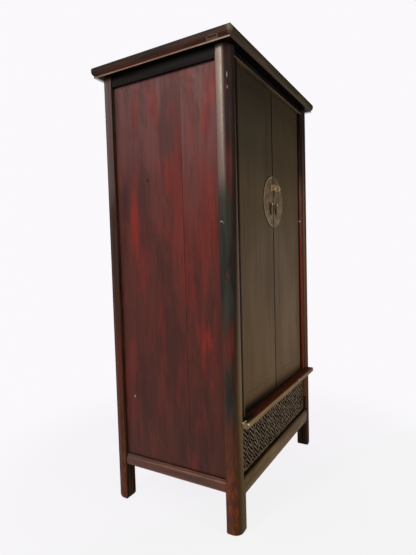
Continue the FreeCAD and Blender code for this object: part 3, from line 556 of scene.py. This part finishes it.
def cornice_lacquer(finish, axis):
    """Lacquer of the moulding: painted nearly black above and mostly black below as shade, red-brown or
    olive on the round.
    """
    wide, streak, fibre = layers_of_grain(finish, axis)
    low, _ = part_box("left_cornice")
    rise = finish.ramp(finish.part(Z), low.z + 22 * MM, low.z + 33 * MM)
    if axis == Y:
        face = finish.blend(wide, 0.36, 0.64, paint(28, 17, 15), paint(66, 32, 26))
        upper = finish.blend(streak, 0.4, 0.6, paint(14, 11, 10), paint(30, 24, 21))
        # A bright painted highlight for the lower edge on the sides
        arris = finish.blend(wide, 0.3, 0.6, paint(190, 160, 136), paint(134, 98, 78))
    else:
        face = finish.blend(wide, 0.36, 0.64, paint(58, 48, 34), paint(78, 61, 45))
        upper = finish.blend(streak, 0.4, 0.6, paint(28, 23, 16), paint(52, 44, 32))
        arris = finish.blend(wide, 0.3, 0.6, paint(86, 68, 50), paint(64, 50, 37))
    # Painted shade: the top of the round is painted nearly black
    colour = finish.mix(rise, face, upper)
    colour = finish.blend(streak, 0.45, 0.7, colour, paint(26, 20, 17), 0.45)
    colour = finish.blend(fibre, 0.45, 0.8, colour, paint(110, 84, 62), 0.2)
    # Painted shade and highlight: on the sides the fillet is painted dark, with the bright arris colour
    # along its lowest edge
    fillet = finish.ramp(finish.part(Z), low.z + 7.6 * MM, low.z + 6.6 * MM)
    colour = finish.mix(fillet, colour, finish.mix(0.6, arris, paint(30, 22, 18)) if axis == Y else arris)
    if axis == Y:
        colour = finish.blend(finish.part(Z), low.z + 5.0 * MM, low.z + 4.0 * MM, colour, arris)
        middle, half, mark_low, mark_high = TENON_MARK
        mark = finish.outline(Y, middle, half, mark_low, mark_high, 3.2 * MM)
        mark = finish.times(mark, finish.ramp(finish.part(X), -0.40, -0.45, 0.0, 0.55))
        colour = finish.mix(mark, colour, finish.blend(wide, 0.5, 0.6, paint(124, 104, 84), paint(10, 8, 7)))
    colour = finish.mix(finish.spots(WORN_CORNERS, waver=0.006), colour, paint(126, 118, 94))
    # Painted shade: faces turned down are painted nearly black, and pale at the right end and at the back as
    # painted light from below
    under = finish.ramp(finish.normal(Z), -0.8, -0.95)
    pale = finish.larger(finish.ramp(finish.part(X), 0.455, 0.462), finish.ramp(finish.part(Y), 0.30, 0.31))
    soffit = finish.mix(pale, paint(12, 10, 9), paint(222, 220, 200))
    colour = finish.mix(under, colour, soffit)
    dull = finish.larger(under, finish.ramp(finish.normal(Z), 0.1, 0.5))
    gloss = finish.ramp(dull, 0.0, 1.0, 0.14, 0.02)
    gloss = finish.larger(gloss, finish.times(finish.times(under, pale), 0.9))
    finish.set(
        Base_Color=colour,
        Roughness=finish.ramp(wide, 0.35, 0.65, 0.34, 0.5),
        Specular_IOR_Level=gloss,
        Specular_Tint=paint(255, 232, 214),
    )
    finish.relief((wide, 0.15, 0.4 * MM), (streak, 0.25, 0.3 * MM), (fibre, 0.25, 0.15 * MM))


def painted_shadow_lacquer(finish, axis):
    """Lacquer of the rails close under the moulding, painted nearly black as the moulding's shade, with a
    tan bead over the doors.
    """
    wide, streak, fibre = layers_of_grain(finish, axis)
    # Painted shade: nearly black, as the moulding would shade the rail
    colour = finish.blend(wide, 0.4, 0.65, paint(15, 12, 11), paint(30, 26, 25))
    if axis == X:
        bead_low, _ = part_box("front_frieze_rail")
        bead = finish.ramp(finish.part(Z), bead_low.z + 8.4 * MM, bead_low.z + 7.6 * MM)
        tan = finish.blend(wide, 0.35, 0.6, paint(96, 80, 58), paint(66, 55, 41))
        colour = finish.mix(bead, colour, tan)
    colour = finish.blend(fibre, 0.45, 0.8, colour, paint(60, 50, 44), 0.15)
    finish.set(
        Base_Color=colour,
        Roughness=finish.ramp(streak, 0.35, 0.65, 0.42, 0.55),
        Specular_IOR_Level=0.05,
    )
    finish.relief((streak, 0.3, 0.35 * MM), (fibre, 0.25, 0.15 * MM))


def rail_lacquer(finish, axis):
    """Thin brown lacquer of the front rails and ledge, rubbed to tan in front and dark red on top, with
    painted shade and shadow.
    """
    wide, streak, fibre = layers_of_grain(finish, axis)
    upward = finish.ramp(finish.normal(Z), 0.55, 0.95)
    downward = finish.ramp(finish.normal(Z), -0.5, -0.95)
    face = finish.blend(wide, 0.36, 0.62, paint(116, 88, 54), paint(90, 67, 42))
    face = finish.blend(finish.part(Z), 0.30, 0.35, face, paint(158, 130, 86), 0.6)
    face = finish.blend(finish.part(X), -0.2, 0.4, face, paint(84, 64, 44), 0.3)
    high = finish.blend(wide, 0.4, 0.65, paint(84, 34, 22), paint(98, 46, 30))
    high = finish.blend(finish.part(X), -0.28, -0.36, high, paint(30, 27, 23))
    ledge_low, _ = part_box("ledge")
    nosing = ledge_low.y + 12 * MM
    # Painted shadow: the ledge's top is dark behind the nosing
    high = finish.blend(finish.part(Y), nosing, ledge_low.y + 44 * MM, high, paint(22, 16, 14), 0.8)
    high = finish.blend(finish.part(Y), nosing, ledge_low.y, high, paint(140, 84, 56), 0.6)
    # Painted shadow: the top of the bottom rail, under the ledge, is nearly black
    high = finish.blend(finish.part(Z), 0.30, 0.25, high, paint(12, 9, 8))
    colour = finish.mix(upward, face, high)
    colour = finish.blend(streak, 0.42, 0.72, colour, paint(46, 34, 26), 0.45)
    colour = finish.blend(fibre, 0.45, 0.8, colour, paint(130, 102, 72), 0.25)
    colour = finish.rub(colour, finish.ramp(wide, 0.4, 0.6, 0.0, 0.6), paint(148, 120, 86))
    end_x, end_z = LEDGE_END
    end = finish.times(
        finish.ramp(finish.part(X), end_x + 5 * MM, end_x + 2 * MM),
        finish.ramp(finish.part(Z), end_z - 6 * MM, end_z - 2 * MM),
    )
    chips_and_glints = finish.larger(end, finish.spots(LEDGE_CHIPS, waver=0.003))
    colour = finish.mix(chips_and_glints, colour, paint(226, 212, 184))
    # Painted shade: faces turned down are dark
    colour = finish.mix(downward, colour, paint(26, 18, 14))
    # Painted shade in corners and narrow gaps
    colour = finish.paint_corner_shade(colour, 0.012, 0.85)
    finish.set(
        Base_Color=colour,
        Roughness=finish.ramp(wide, 0.35, 0.65, 0.38, 0.52),
        Specular_IOR_Level=finish.ramp(upward, 0.0, 1.0, 0.03, 0.01),
        Specular_Tint=paint(255, 228, 198),
    )
    finish.relief((wide, 0.2, 0.5 * MM), (streak, 0.3, 0.35 * MM), (fibre, 0.25, 0.15 * MM))


def jamb_lacquer(finish, axis):
    """Lacquer of the strips beside the doors: brown on the left one, red on the right one, with painted
    shade beside the posts and at the doors.
    """
    wide, streak, fibre = layers_of_grain(finish, axis)
    right = finish.blend(wide, 0.4, 0.6, paint(66, 34, 28), paint(96, 46, 38))
    facing_doors = finish.blend_up(
        (0.50, 134, 46, 36), (0.80, 150, 60, 52), (1.06, 164, 70, 58), (1.22, 152, 86, 74),
        (1.36, 152, 102, 90), (1.50, 64, 48, 44), (1.70, 26, 19, 17),
    )
    jamb_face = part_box("right_jamb")[0].y
    # Painted shade: the right jamb's side is dark deeper in, by the door's edge
    door_gap_shade = finish.ramp(finish.part(Y), jamb_face + 8.5 * MM, jamb_face + 10.5 * MM)
    facing_doors = finish.mix(door_gap_shade, facing_doors, paint(14, 10, 9))
    dark_top = finish.ramp(finish.part(Z), 1.30, 1.55)
    right = finish.mix(dark_top, right, paint(30, 21, 19))
    right = finish.blend(finish.outward(X), -0.5, -0.9, right, facing_doors)
    left = finish.blend_up(
        (0.45, 104, 84, 66), (0.80, 92, 74, 56), (1.30, 52, 46, 38), (1.60, 26, 24, 22),
    )
    colour = finish.blend(finish.part(X), -0.1, 0.1, left, right)
    # Painted shade: a dark band on each jamb beside its post
    post_face = -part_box("front_left_post")[1].x
    beside = finish.larger(
        finish.ramp(finish.part(X), -post_face + 24.0 * MM, -post_face + 19.0 * MM),
        finish.ramp(finish.part(X), post_face - 9.0 * MM, post_face - 6.0 * MM),
    )
    colour = finish.mix(beside, colour, paint(12, 9, 8))
    colour = finish.blend(streak, 0.42, 0.7, colour, paint(38, 24, 20), 0.5)
    colour = finish.blend(fibre, 0.45, 0.8, colour, paint(130, 74, 60), 0.2)
    # Painted shade in corners and narrow gaps
    colour = finish.paint_corner_shade(colour, 0.005, 0.9)
    colour = finish.mix(finish.spots(JAMB_CHIPS, waver=0.002), colour, paint(232, 214, 200))
    finish.set(
        Base_Color=colour,
        Roughness=finish.ramp(wide, 0.35, 0.65, 0.4, 0.55),
        Specular_IOR_Level=0.02,
    )
    finish.relief((streak, 0.3, 0.35 * MM), (fibre, 0.25, 0.15 * MM))


def bare_wood(finish, axis):
    """Old elm without lacquer: tan, with darker growth bands, open pores and dust."""
    bands = finish.noise(along(axis, 26.0, 1.1), detail=2.0, distortion=1.2)
    rings = finish.maths("FRACT", finish.times(bands, 9.0))
    rings = finish.ramp(finish.maths("ABSOLUTE", finish.maths("SUBTRACT", rings, 0.5)), 0.05, 0.5)
    fibre = finish.noise(along(axis, 420.0, 12.0), detail=4.0)
    pores = finish.ramp(finish.noise(along(axis, 620.0, 26.0), detail=2.0), 0.6, 0.68)
    dust = finish.noise((8.0,) * 3, detail=4.0)
    colour = finish.mix(rings, paint(134, 98, 68), paint(104, 74, 51))
    colour = finish.blend(fibre, 0.35, 0.7, colour, paint(150, 116, 84), 0.4)
    colour = finish.mix(finish.times(pores, 0.6), colour, paint(66, 46, 33))
    colour = finish.blend(dust, 0.45, 0.7, colour, paint(98, 84, 70), 0.45)
    finish.set(
        Base_Color=colour,
        Roughness=finish.ramp(fibre, 0.3, 0.7, 0.62, 0.8),
        Specular_IOR_Level=0.2,
    )
    finish.relief((rings, 0.15, 0.3 * MM), (fibre, 0.35, 0.2 * MM), (pores, -0.3, 0.2 * MM))


def aged_brass(finish, axis):
    """Brass gone brown, with a painted highlight on a ring by its left rim, and painted shade on that rim,
    along its slit, where it meets the door and as the pulls' and staples' shadows.
    """
    patina = finish.noise((38.0,) * 3, detail=6.0, roughness=0.65)
    pits = finish.noise((420.0,) * 3, detail=3.0)
    hammer = finish.noise((95.0,) * 3, detail=1.0)
    colour = finish.blend(patina, 0.4, 0.6, paint(132, 108, 78), paint(92, 74, 54))
    middle, radius = PLATE_PLACE
    across = finish.part(X)
    shift = finish.vector("SUBTRACT", finish.place, middle)
    off = finish.length(finish.vector("MULTIPLY", shift, (1, 0, 1)))
    # Painted highlight: a light ring inside the rim, strongest on the left
    off_line = finish.maths("ABSOLUTE", finish.maths("SUBTRACT", off, radius - 7.0 * MM))
    line = finish.ramp(off_line, 3.0 * MM, 1.0 * MM)
    line = finish.times(line, finish.ramp(across, 0.0, -30 * MM, 0.15, 0.9))
    colour = finish.mix(line, colour, paint(168, 146, 112))
    # Painted shade: the rim darkens towards the left and the slit is dark, with the pulls' and staples'
    # shadows
    rim = finish.ramp(off, radius - 3.5 * MM, radius - 2.0 * MM)
    rim = finish.times(rim, finish.ramp(across, 10 * MM, -40 * MM, 0.2, 0.95))
    slit = finish.ramp(finish.apart(X, 0.0), 5.5 * MM, 3.5 * MM)
    dark = finish.larger(rim, finish.larger(slit, finish.spots(PULL_AND_STAPLE_SHADOWS, waver=0.0)))
    colour = finish.mix(dark, colour, paint(15, 12, 10))
    # Painted shade in corners and where the brass meets the door
    colour = finish.paint_corner_shade(colour, 0.008, 0.7)
    finish.set(
        Base_Color=colour,
        Metallic=finish.ramp(patina, 0.35, 0.65, 0.6, 0.4),
        Roughness=finish.ramp(pits, 0.3, 0.7, 0.42, 0.6),
    )
    finish.relief((hammer, 0.35, 0.7 * MM), (pits, 0.2, 0.1 * MM))


def handled_brass(finish, axis):
    """Brass of the staples and eyes, kept light by hands and by the lock."""
    patina = finish.noise((60.0,) * 3, detail=6.0, roughness=0.65)
    pits = finish.noise((420.0,) * 3, detail=3.0)
    colour = finish.blend(patina, 0.4, 0.6, paint(224, 192, 146), paint(176, 146, 106))
    colour = finish.rub(colour, finish.ramp(patina, 0.35, 0.55, 0.8, 0.4), paint(250, 222, 178))
    # Painted shade in corners and narrow gaps
    colour = finish.paint_corner_shade(colour, 0.006, 0.8)
    finish.set(
        Base_Color=colour,
        Metallic=finish.ramp(patina, 0.35, 0.65, 0.5, 0.3),
        Roughness=finish.ramp(pits, 0.3, 0.7, 0.36, 0.52),
    )
    finish.relief((patina, 0.3, 0.3 * MM), (pits, 0.2, 0.1 * MM))


FINISHES = {
    make.__name__: make
    for make in (
        front_lacquer, fret_lacquer, side_lacquer, post_lacquer, frame_lacquer, cornice_lacquer,
        painted_shadow_lacquer, rail_lacquer, jamb_lacquer, bare_wood, aged_brass, handled_brass,
    )
}
made_finishes = {}


def finish_of(kind, axis):
    """Gives the material of a kind with its grain along an axis, made once."""
    if (kind, axis) not in made_finishes:
        finish = Finish(f"{kind}_{'xyz'[axis]}")
        FINISHES[kind](finish, axis)
        made_finishes[kind, axis] = finish.material
    return made_finishes[kind, axis]


SIDES = ("left", "right")

# Node by node: the record's slot, the finish, the grain's axis and how far the edges are eased, in mm
LOOKS = {
    "top_panel": ("frame_lacquer", "frame_lacquer", X, 1.0),
    "front_frieze_rail": ("front_lacquer", "painted_shadow_lacquer", X, 0.6),
    "front_bottom_rail": ("frame_lacquer", "rail_lacquer", X, 1.0),
    "ledge": ("frame_lacquer", "rail_lacquer", X, 0.8),
    "carved_panel": ("front_lacquer", "fret_lacquer", X, 0.8),
}
for name, axis, ease in (
    ("top_battens", Y, 1.0), ("rear_top_rail", X, 1.2), ("rear_bottom_rail", X, 1.2),
    ("back_boards", Z, 0.8), ("back_battens", X, 1.0), ("compartment_floor", X, 0.8),
    ("floor_bearers", Y, 1.0), ("lid_frame_rails", X, 0.8), ("lid_frame_sides", Y, 0.8),
    ("lid_frame_middle", Y, 0.8), ("shelf", X, 1.0),
):
    LOOKS[name] = ("bare_wood", "bare_wood", axis, ease)
for end in ("front", "rear"):
    LOOKS[f"{end}_cornice"] = ("frame_lacquer", "cornice_lacquer", X, 0.9)
    for side_name in SIDES:
        LOOKS[f"{end}_{side_name}_post"] = ("frame_lacquer", "post_lacquer", Z, 1.2)
for side_name in SIDES:
    LOOKS[f"{side_name}_cornice"] = ("frame_lacquer", "cornice_lacquer", Y, 0.9)
    LOOKS[f"{side_name}_top_rail"] = ("frame_lacquer", "painted_shadow_lacquer", Y, 1.0)
    LOOKS[f"{side_name}_bottom_rail"] = ("frame_lacquer", "frame_lacquer", Y, 1.0)
    for end in ("front", "rear"):
        LOOKS[f"{side_name}_{end}_side_board"] = ("side_lacquer", "side_lacquer", Z, 0.4)
    LOOKS[f"{side_name}_side_battens"] = ("bare_wood", "bare_wood", Y, 1.0)
    LOOKS[f"{side_name}_jamb"] = ("front_lacquer", "jamb_lacquer", Z, 0.8)
    LOOKS[f"{side_name}_lid"] = ("bare_wood", "bare_wood", X, 1.0)
    for member, axis in (
        ("hinge_stile", Z), ("lock_stile", Z), ("panel", Z), ("top_rail", X), ("bottom_rail", X),
    ):
        LOOKS[f"{side_name}_door_{member}"] = ("front_lacquer", "front_lacquer", axis, 0.12)
    LOOKS[f"{side_name}_door_battens"] = ("bare_wood", "bare_wood", X, 1.0)
    LOOKS[f"{side_name}_plate"] = ("aged_brass", "aged_brass", Z, 0.7)
    LOOKS[f"{side_name}_drop_pull"] = ("aged_brass", "aged_brass", Z, 0.6)
    for member in ("lock_staple", "pull_eye"):
        LOOKS[f"{side_name}_{member}"] = ("aged_brass", "handled_brass", Z, 0.6)


def ease_edges(mesh, width, limit=math.inf):
    """Rounds the sharp edges in front of a limit, and marks the new faces as worn."""
    worn = mesh.faces.layers.float.new("worn")
    sharp = [
        edge for edge in mesh.edges
        if edge.is_manifold and edge.calc_face_angle() > SHARP
        and all(vertex.co.y < limit for vertex in edge.verts)
    ]
    made = bmesh.ops.bevel(
        mesh, geom=sharp, offset=width, offset_type="OFFSET", segments=2,
        profile=0.5, affect="EDGES", clamp_overlap=True,
    )
    for face in made["faces"]:
        face[worn] = 1.0


def cut_stations(mesh, spacing):
    """Cuts the mesh by even planes across each of its long directions."""
    for axis in (X, Y, Z):
        places = [vertex.co[axis] for vertex in mesh.verts]
        low, high = min(places), max(places)
        count = int((high - low) // spacing)
        if count < 2:
            continue
        direction = Vector((0, 0, 0))
        direction[axis] = 1.0
        for number in range(1, count):
            point = direction * (low + (high - low) * number / count)
            geometry = mesh.verts[:] + mesh.edges[:] + mesh.faces[:]
            bmesh.ops.bisect_plane(mesh, geom=geometry, dist=WELD, plane_co=point, plane_no=direction)


def weather(mesh, depth):
    """Sinks the surface a little here and there, as hand planing and wear leave it."""
    mesh.normal_update()
    moves = []
    for vertex in mesh.verts:
        level = noise.noise(vertex.co * WAVE_SCALE) * 0.5 + 0.5
        moves.append(vertex.normal * (-depth * level))
    for vertex, move in zip(mesh.verts, moves):
        vertex.co += move


def mark_boards(mesh, source):
    """Gives each separate solid in a mesh its own shift of the grain."""
    shift = mesh.verts.layers.float_vector.new("board")
    waiting = set(mesh.verts)
    while waiting:
        start = min(waiting, key=lambda vertex: vertex.index)
        island, border = {start}, [start]
        while border:
            vertex = border.pop()
            for edge in vertex.link_edges:
                other = edge.other_vert(vertex)
                if other not in island:
                    island.add(other)
                    border.append(other)
        waiting -= island
        own = Vector([source.uniform(0, BOARD_SHIFT) for _ in range(3)])
        for vertex in island:
            vertex[shift] = own


def new_object(name, data):
    """Makes an object from its data and puts it into the scene."""
    made = bpy.data.objects.new(name, data)
    bpy.context.scene.collection.objects.link(made)
    return made


def add_piece(name, mesh, kind, axis, body, nodes=()):
    """Makes a piece of the cabinet from a finished mesh and ties it to its body."""
    data = bpy.data.meshes.new(name)
    for face in mesh.faces:
        face.smooth = True
    mesh.to_mesh(data)
    mesh.free()
    data.set_sharp_from_angle(angle=SMOOTH)
    data.materials.append(finish_of(kind, axis))
    piece = new_object(name, data)
    weighted = piece.modifiers.new("flat_faces", "WEIGHTED_NORMAL")
    weighted.keep_sharp = True
    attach(piece, body)
    if nodes:
        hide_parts(*nodes)


def worn_copy(node, source):
    """Replaces a node by a copy with eased edges and an uneven surface."""
    slot, kind, axis, ease = LOOKS[node]
    mesh = bmesh.new()
    mesh.from_mesh(frame["nodes"][node].data)
    bmesh.ops.remove_doubles(mesh, verts=mesh.verts, dist=WELD)
    bmesh.ops.dissolve_limit(mesh, angle_limit=FLAT, verts=mesh.verts, edges=mesh.edges)
    ease_edges(mesh, ease * MM)
    if slot != "aged_brass":
        cut_stations(mesh, STATION)
        weather(mesh, WAVE)
    mesh.verts.index_update()
    mark_boards(mesh, source)
    add_piece(f"worn_{node}", mesh, kind, axis, BODY_OF[node], [node])


def fret_strokes(reach):
    """Gives the unit steps of the key-fret on its own lattice, out to a reach in steps.

    Each repeat has an S of two long bars joined by a short one, a free upright bar, and a
    small key inside the square that they leave.
    """
    bars = [
        ((-4, -1), (0, -1)), ((0, -1), (0, 1)), ((0, 1), (4, 1)), ((1, 0), (1, -4)), ((-1, 0), (-1, 4)),
        ((0, 2), (2, 2)), ((2, 2), (2, 3)), ((0, 3), (2, 3)), ((0, 3), (0, 4)), ((0, 4), (2, 4)),
    ]
    steps = set()
    for across in range(-reach, reach + 1):
        for up in range(-reach, reach + 1):
            shift_x, shift_y = 4 * across + 2 * up, 2 * across - 4 * up
            for (x0, y0), (x1, y1) in bars:
                length = max(abs(x1 - x0), abs(y1 - y0))
                stops = [
                    (
                        x0 + (x1 - x0) * step // length + shift_x,
                        y0 + (y1 - y0) * step // length + shift_y,
                    )
                    for step in range(length + 1)
                ]
                steps.update((min(pair), max(pair)) for pair in zip(stops, stops[1:]))
    return steps


def fret_cells(steps):
    """Turns lattice steps into cells that alternate between a stroke's width and a gap's."""
    cells = set()
    for (x0, y0), (x1, y1) in steps:
        cells.add((2 * x0, 2 * y0))
        cells.add((2 * x1, 2 * y1))
        cells.add((x0 + x1, y0 + y1))
    return cells


def fret_line(number):
    """Gives where a line between cells lies, in metres from the middle of the pattern."""
    half = FRET_STROKE / 2
    whole, odd = divmod(number, 2)
    return whole * FRET_PITCH + (half if odd else -half)


def make_fretwork():
    """Stands the key-fret in the sunk field of the carved panel, as one mesh of raised strokes."""
    low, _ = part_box("carved_panel")
    field_x = -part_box("left_jamb")[0].x - FRET_BORDER
    low_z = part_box("front_bottom_rail")[1].z + FRET_BORDER
    high_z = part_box("ledge")[0].z - FRET_BORDER
    middle = Vector((0, 0, (low_z + high_z) / 2))
    face_y = low.y + FRET_PLAY
    base_y = low.y + FRET_SINK + FRET_ROOT
    turn = Matrix.Rotation(FRET_TURN, 4, "Y")
    mesh = bmesh.new()
    corners = {}

    def corner(column, row, level):
        key = (column, row, level)
        if key not in corners:
            flat = turn @ Vector((fret_line(column), 0, fret_line(row)))
            corners[key] = mesh.verts.new((flat.x, level, flat.z + middle.z))
        return corners[key]

    cells = fret_cells(fret_strokes(FRET_REACH))
    reach = field_x + FRET_MARGIN
    kept = set()
    for column, row in cells:
        flat = turn @ Vector((fret_line(column), 0, fret_line(row)))
        if abs(flat.x) < reach and abs(flat.z) < (high_z - low_z) / 2 + FRET_MARGIN:
            kept.add((column, row))
    for column, row in sorted(kept):
        ring = [(column, row), (column + 1, row), (column + 1, row + 1), (column, row + 1)]
        mesh.faces.new([corner(*spot, face_y) for spot in ring])
        mesh.faces.new([corner(*spot, base_y) for spot in reversed(ring)])
        for number, (step_x, step_y) in enumerate(((0, -1), (1, 0), (0, 1), (-1, 0))):
            if (column + step_x, row + step_y) in kept:
                continue
            first, second = ring[number], ring[(number + 1) % 4]
            mesh.faces.new([
                corner(*first, face_y), corner(*first, base_y),
                corner(*second, base_y), corner(*second, face_y),
            ])
    for point, direction in (
        ((-field_x, 0, 0), (-1, 0, 0)), ((field_x, 0, 0), (1, 0, 0)),
        ((0, 0, low_z), (0, 0, -1)), ((0, 0, high_z), (0, 0, 1)),
    ):
        geometry = mesh.verts[:] + mesh.edges[:] + mesh.faces[:]
        bmesh.ops.bisect_plane(
            mesh, geom=geometry, dist=WELD, plane_co=point, plane_no=direction, clear_outer=True
        )
        rim = [edge for edge in mesh.edges if edge.is_boundary]
        bmesh.ops.holes_fill(mesh, edges=rim, sides=0)
    bmesh.ops.recalc_face_normals(mesh, faces=mesh.faces)
    bmesh.ops.dissolve_limit(mesh, angle_limit=FLAT, verts=mesh.verts, edges=mesh.edges)
    ease_edges(mesh, FRET_EASE, face_y + WELD)
    for vertex in mesh.verts:
        if vertex.co.y < base_y - MM:
            vertex.co.y += FRET_ROUGH * (noise.noise(vertex.co * FRET_ROUGH_SCALE) * 0.5 + 0.5)
    mark_boards(mesh, random.Random(FRET_SEED))
    add_piece("fretwork", mesh, "fret_lacquer", X, BODY_OF["carved_panel"])


def make_camera():
    """Puts the camera where the photograph was taken."""
    forward = Vector((
        math.sin(CAMERA_YAW) * math.cos(CAMERA_PITCH),
        math.cos(CAMERA_YAW) * math.cos(CAMERA_PITCH),
        math.sin(CAMERA_PITCH),
    ))
    level = Vector((math.cos(CAMERA_YAW), -math.sin(CAMERA_YAW), 0))
    upright = level.cross(forward)
    right = math.cos(CAMERA_ROLL) * level + math.sin(CAMERA_ROLL) * upright
    up = -math.sin(CAMERA_ROLL) * level + math.cos(CAMERA_ROLL) * upright
    data = bpy.data.cameras.new("camera")
    data.lens = CAMERA_LENS
    data.sensor_width = CAMERA_SENSOR
    data.sensor_fit = "AUTO"
    camera = new_object("camera", data)
    turn = Matrix((right, up, -forward)).transposed().to_4x4()
    camera.matrix_world = Matrix.Translation(CAMERA_PLACE) @ turn
    bpy.context.scene.camera = camera


def add_lamp(name, place, aim, width, height, power, colour):
    """Hangs a soft rectangular lamp at a place, turned to a point."""
    data = bpy.data.lights.new(name, "AREA")
    data.shape = "RECTANGLE"
    data.size, data.size_y = width, height
    data.energy = power
    data.color = colour
    lamp = new_object(name, data)
    lamp.location = place
    lamp.rotation_euler = (Vector(aim) - Vector(place)).to_track_quat("-Z", "Y").to_euler()


def add_sheet(name, place, facing, width, height):
    """Makes a flat sheet for the stage, turned to face a direction."""
    mesh = bmesh.new()
    bmesh.ops.create_grid(mesh, x_segments=1, y_segments=1, size=0.5)
    bmesh.ops.scale(mesh, vec=(width, height, 1), verts=mesh.verts)
    turn = Vector(facing).to_track_quat("Z", "Y").to_matrix()
    bmesh.ops.rotate(mesh, cent=(0, 0, 0), matrix=turn, verts=mesh.verts)
    data = bpy.data.meshes.new(name)
    mesh.to_mesh(data)
    mesh.free()
    sheet = new_object(name, data)
    sheet.location = place
    return sheet


def seen_directly(tree):
    """Gives 1 for rays from the camera, and for those that gloss and glass send on."""
    path = tree.nodes.new("ShaderNodeLightPath")
    total = path.outputs["Is Camera Ray"]
    for name in ("Is Glossy Ray", "Is Transmission Ray"):
        largest = tree.nodes.new("ShaderNodeMath")
        largest.operation = "MAXIMUM"
        tree.links.new(total, largest.inputs[0])
        tree.links.new(path.outputs[name], largest.inputs[1])
        total = largest.outputs[0]
    return total


def make_floor_cloth():
    """Makes the floor's material: shadowed round the feet, and as bright as the surround further out."""
    finish = Finish("pale_floor")
    finish.set(Base_Color=FLOOR_COLOUR, Roughness=0.9, Specular_IOR_Level=0.0)
    away = finish.length(finish.place)
    before = finish.node(
        "ShaderNodeVectorMath", {0: finish.place, 1: NEAR_SIDE}, operation="DOT_PRODUCT"
    ).outputs["Value"]
    near = finish.ramp(before, 0.15, 0.35)
    glow = finish.node("ShaderNodeEmission", {"Color": finish.mix(near, SURROUND, NEAR_FLOOR)})
    share = finish.times(finish.ramp(away, 0.75, 1.6, FLOOR_GLOW, 1.0), seen_directly(finish.tree))
    blend = finish.node("ShaderNodeMixShader", {0: share, 1: finish.surface.outputs[0], 2: glow.outputs[0]})
    finish.feed(finish.tree.nodes["Material Output"].inputs["Surface"], blend.outputs[0])
    return finish.material


def add_flag(name, place, facing, width, height):
    """Hangs a dark cloth that only glossy reflections see, as a dark room would be."""
    flag = add_sheet(name, place, facing, width, height)
    cloth = Finish(name)
    cloth.set(Base_Color=paint(52, 46, 40), Roughness=1.0)
    flag.data.materials.append(cloth.material)
    for ray in ("camera", "diffuse", "shadow", "transmission", "volume_scatter"):
        setattr(flag, f"visible_{ray}", False)


def make_stage():
    """Lays a pale floor under a white surround, and lights the cabinet softly."""
    world = bpy.data.worlds.new("studio")
    bpy.context.scene.world = world
    world.use_nodes = True
    tree = world.node_tree
    mix = tree.nodes.new("ShaderNodeMix")
    mix.data_type = "RGBA"
    mix.inputs[MIX_FIRST].default_value = SKY_FILL
    mix.inputs[MIX_SECOND].default_value = SURROUND
    tree.links.new(seen_directly(tree), mix.inputs[MIX_FACTOR])
    tree.links.new(mix.outputs[MIX_RESULT], tree.nodes["Background"].inputs["Color"])

    floor = add_sheet("floor", (0, 0, -FLOOR_DROP), (0, 0, 1), FLOOR_SIZE, FLOOR_SIZE)
    floor.data.materials.append(make_floor_cloth())
    add_flag(*FLAG)

    for lamp in LAMPS:
        add_lamp(*lamp)


random_source = random.Random(BOARD_SEED)
for node in sorted(frame["nodes"]):
    worn_copy(node, random_source)
make_fretwork()
make_camera()
make_stage()

scene = bpy.context.scene
scene.view_settings.view_transform = "Standard"
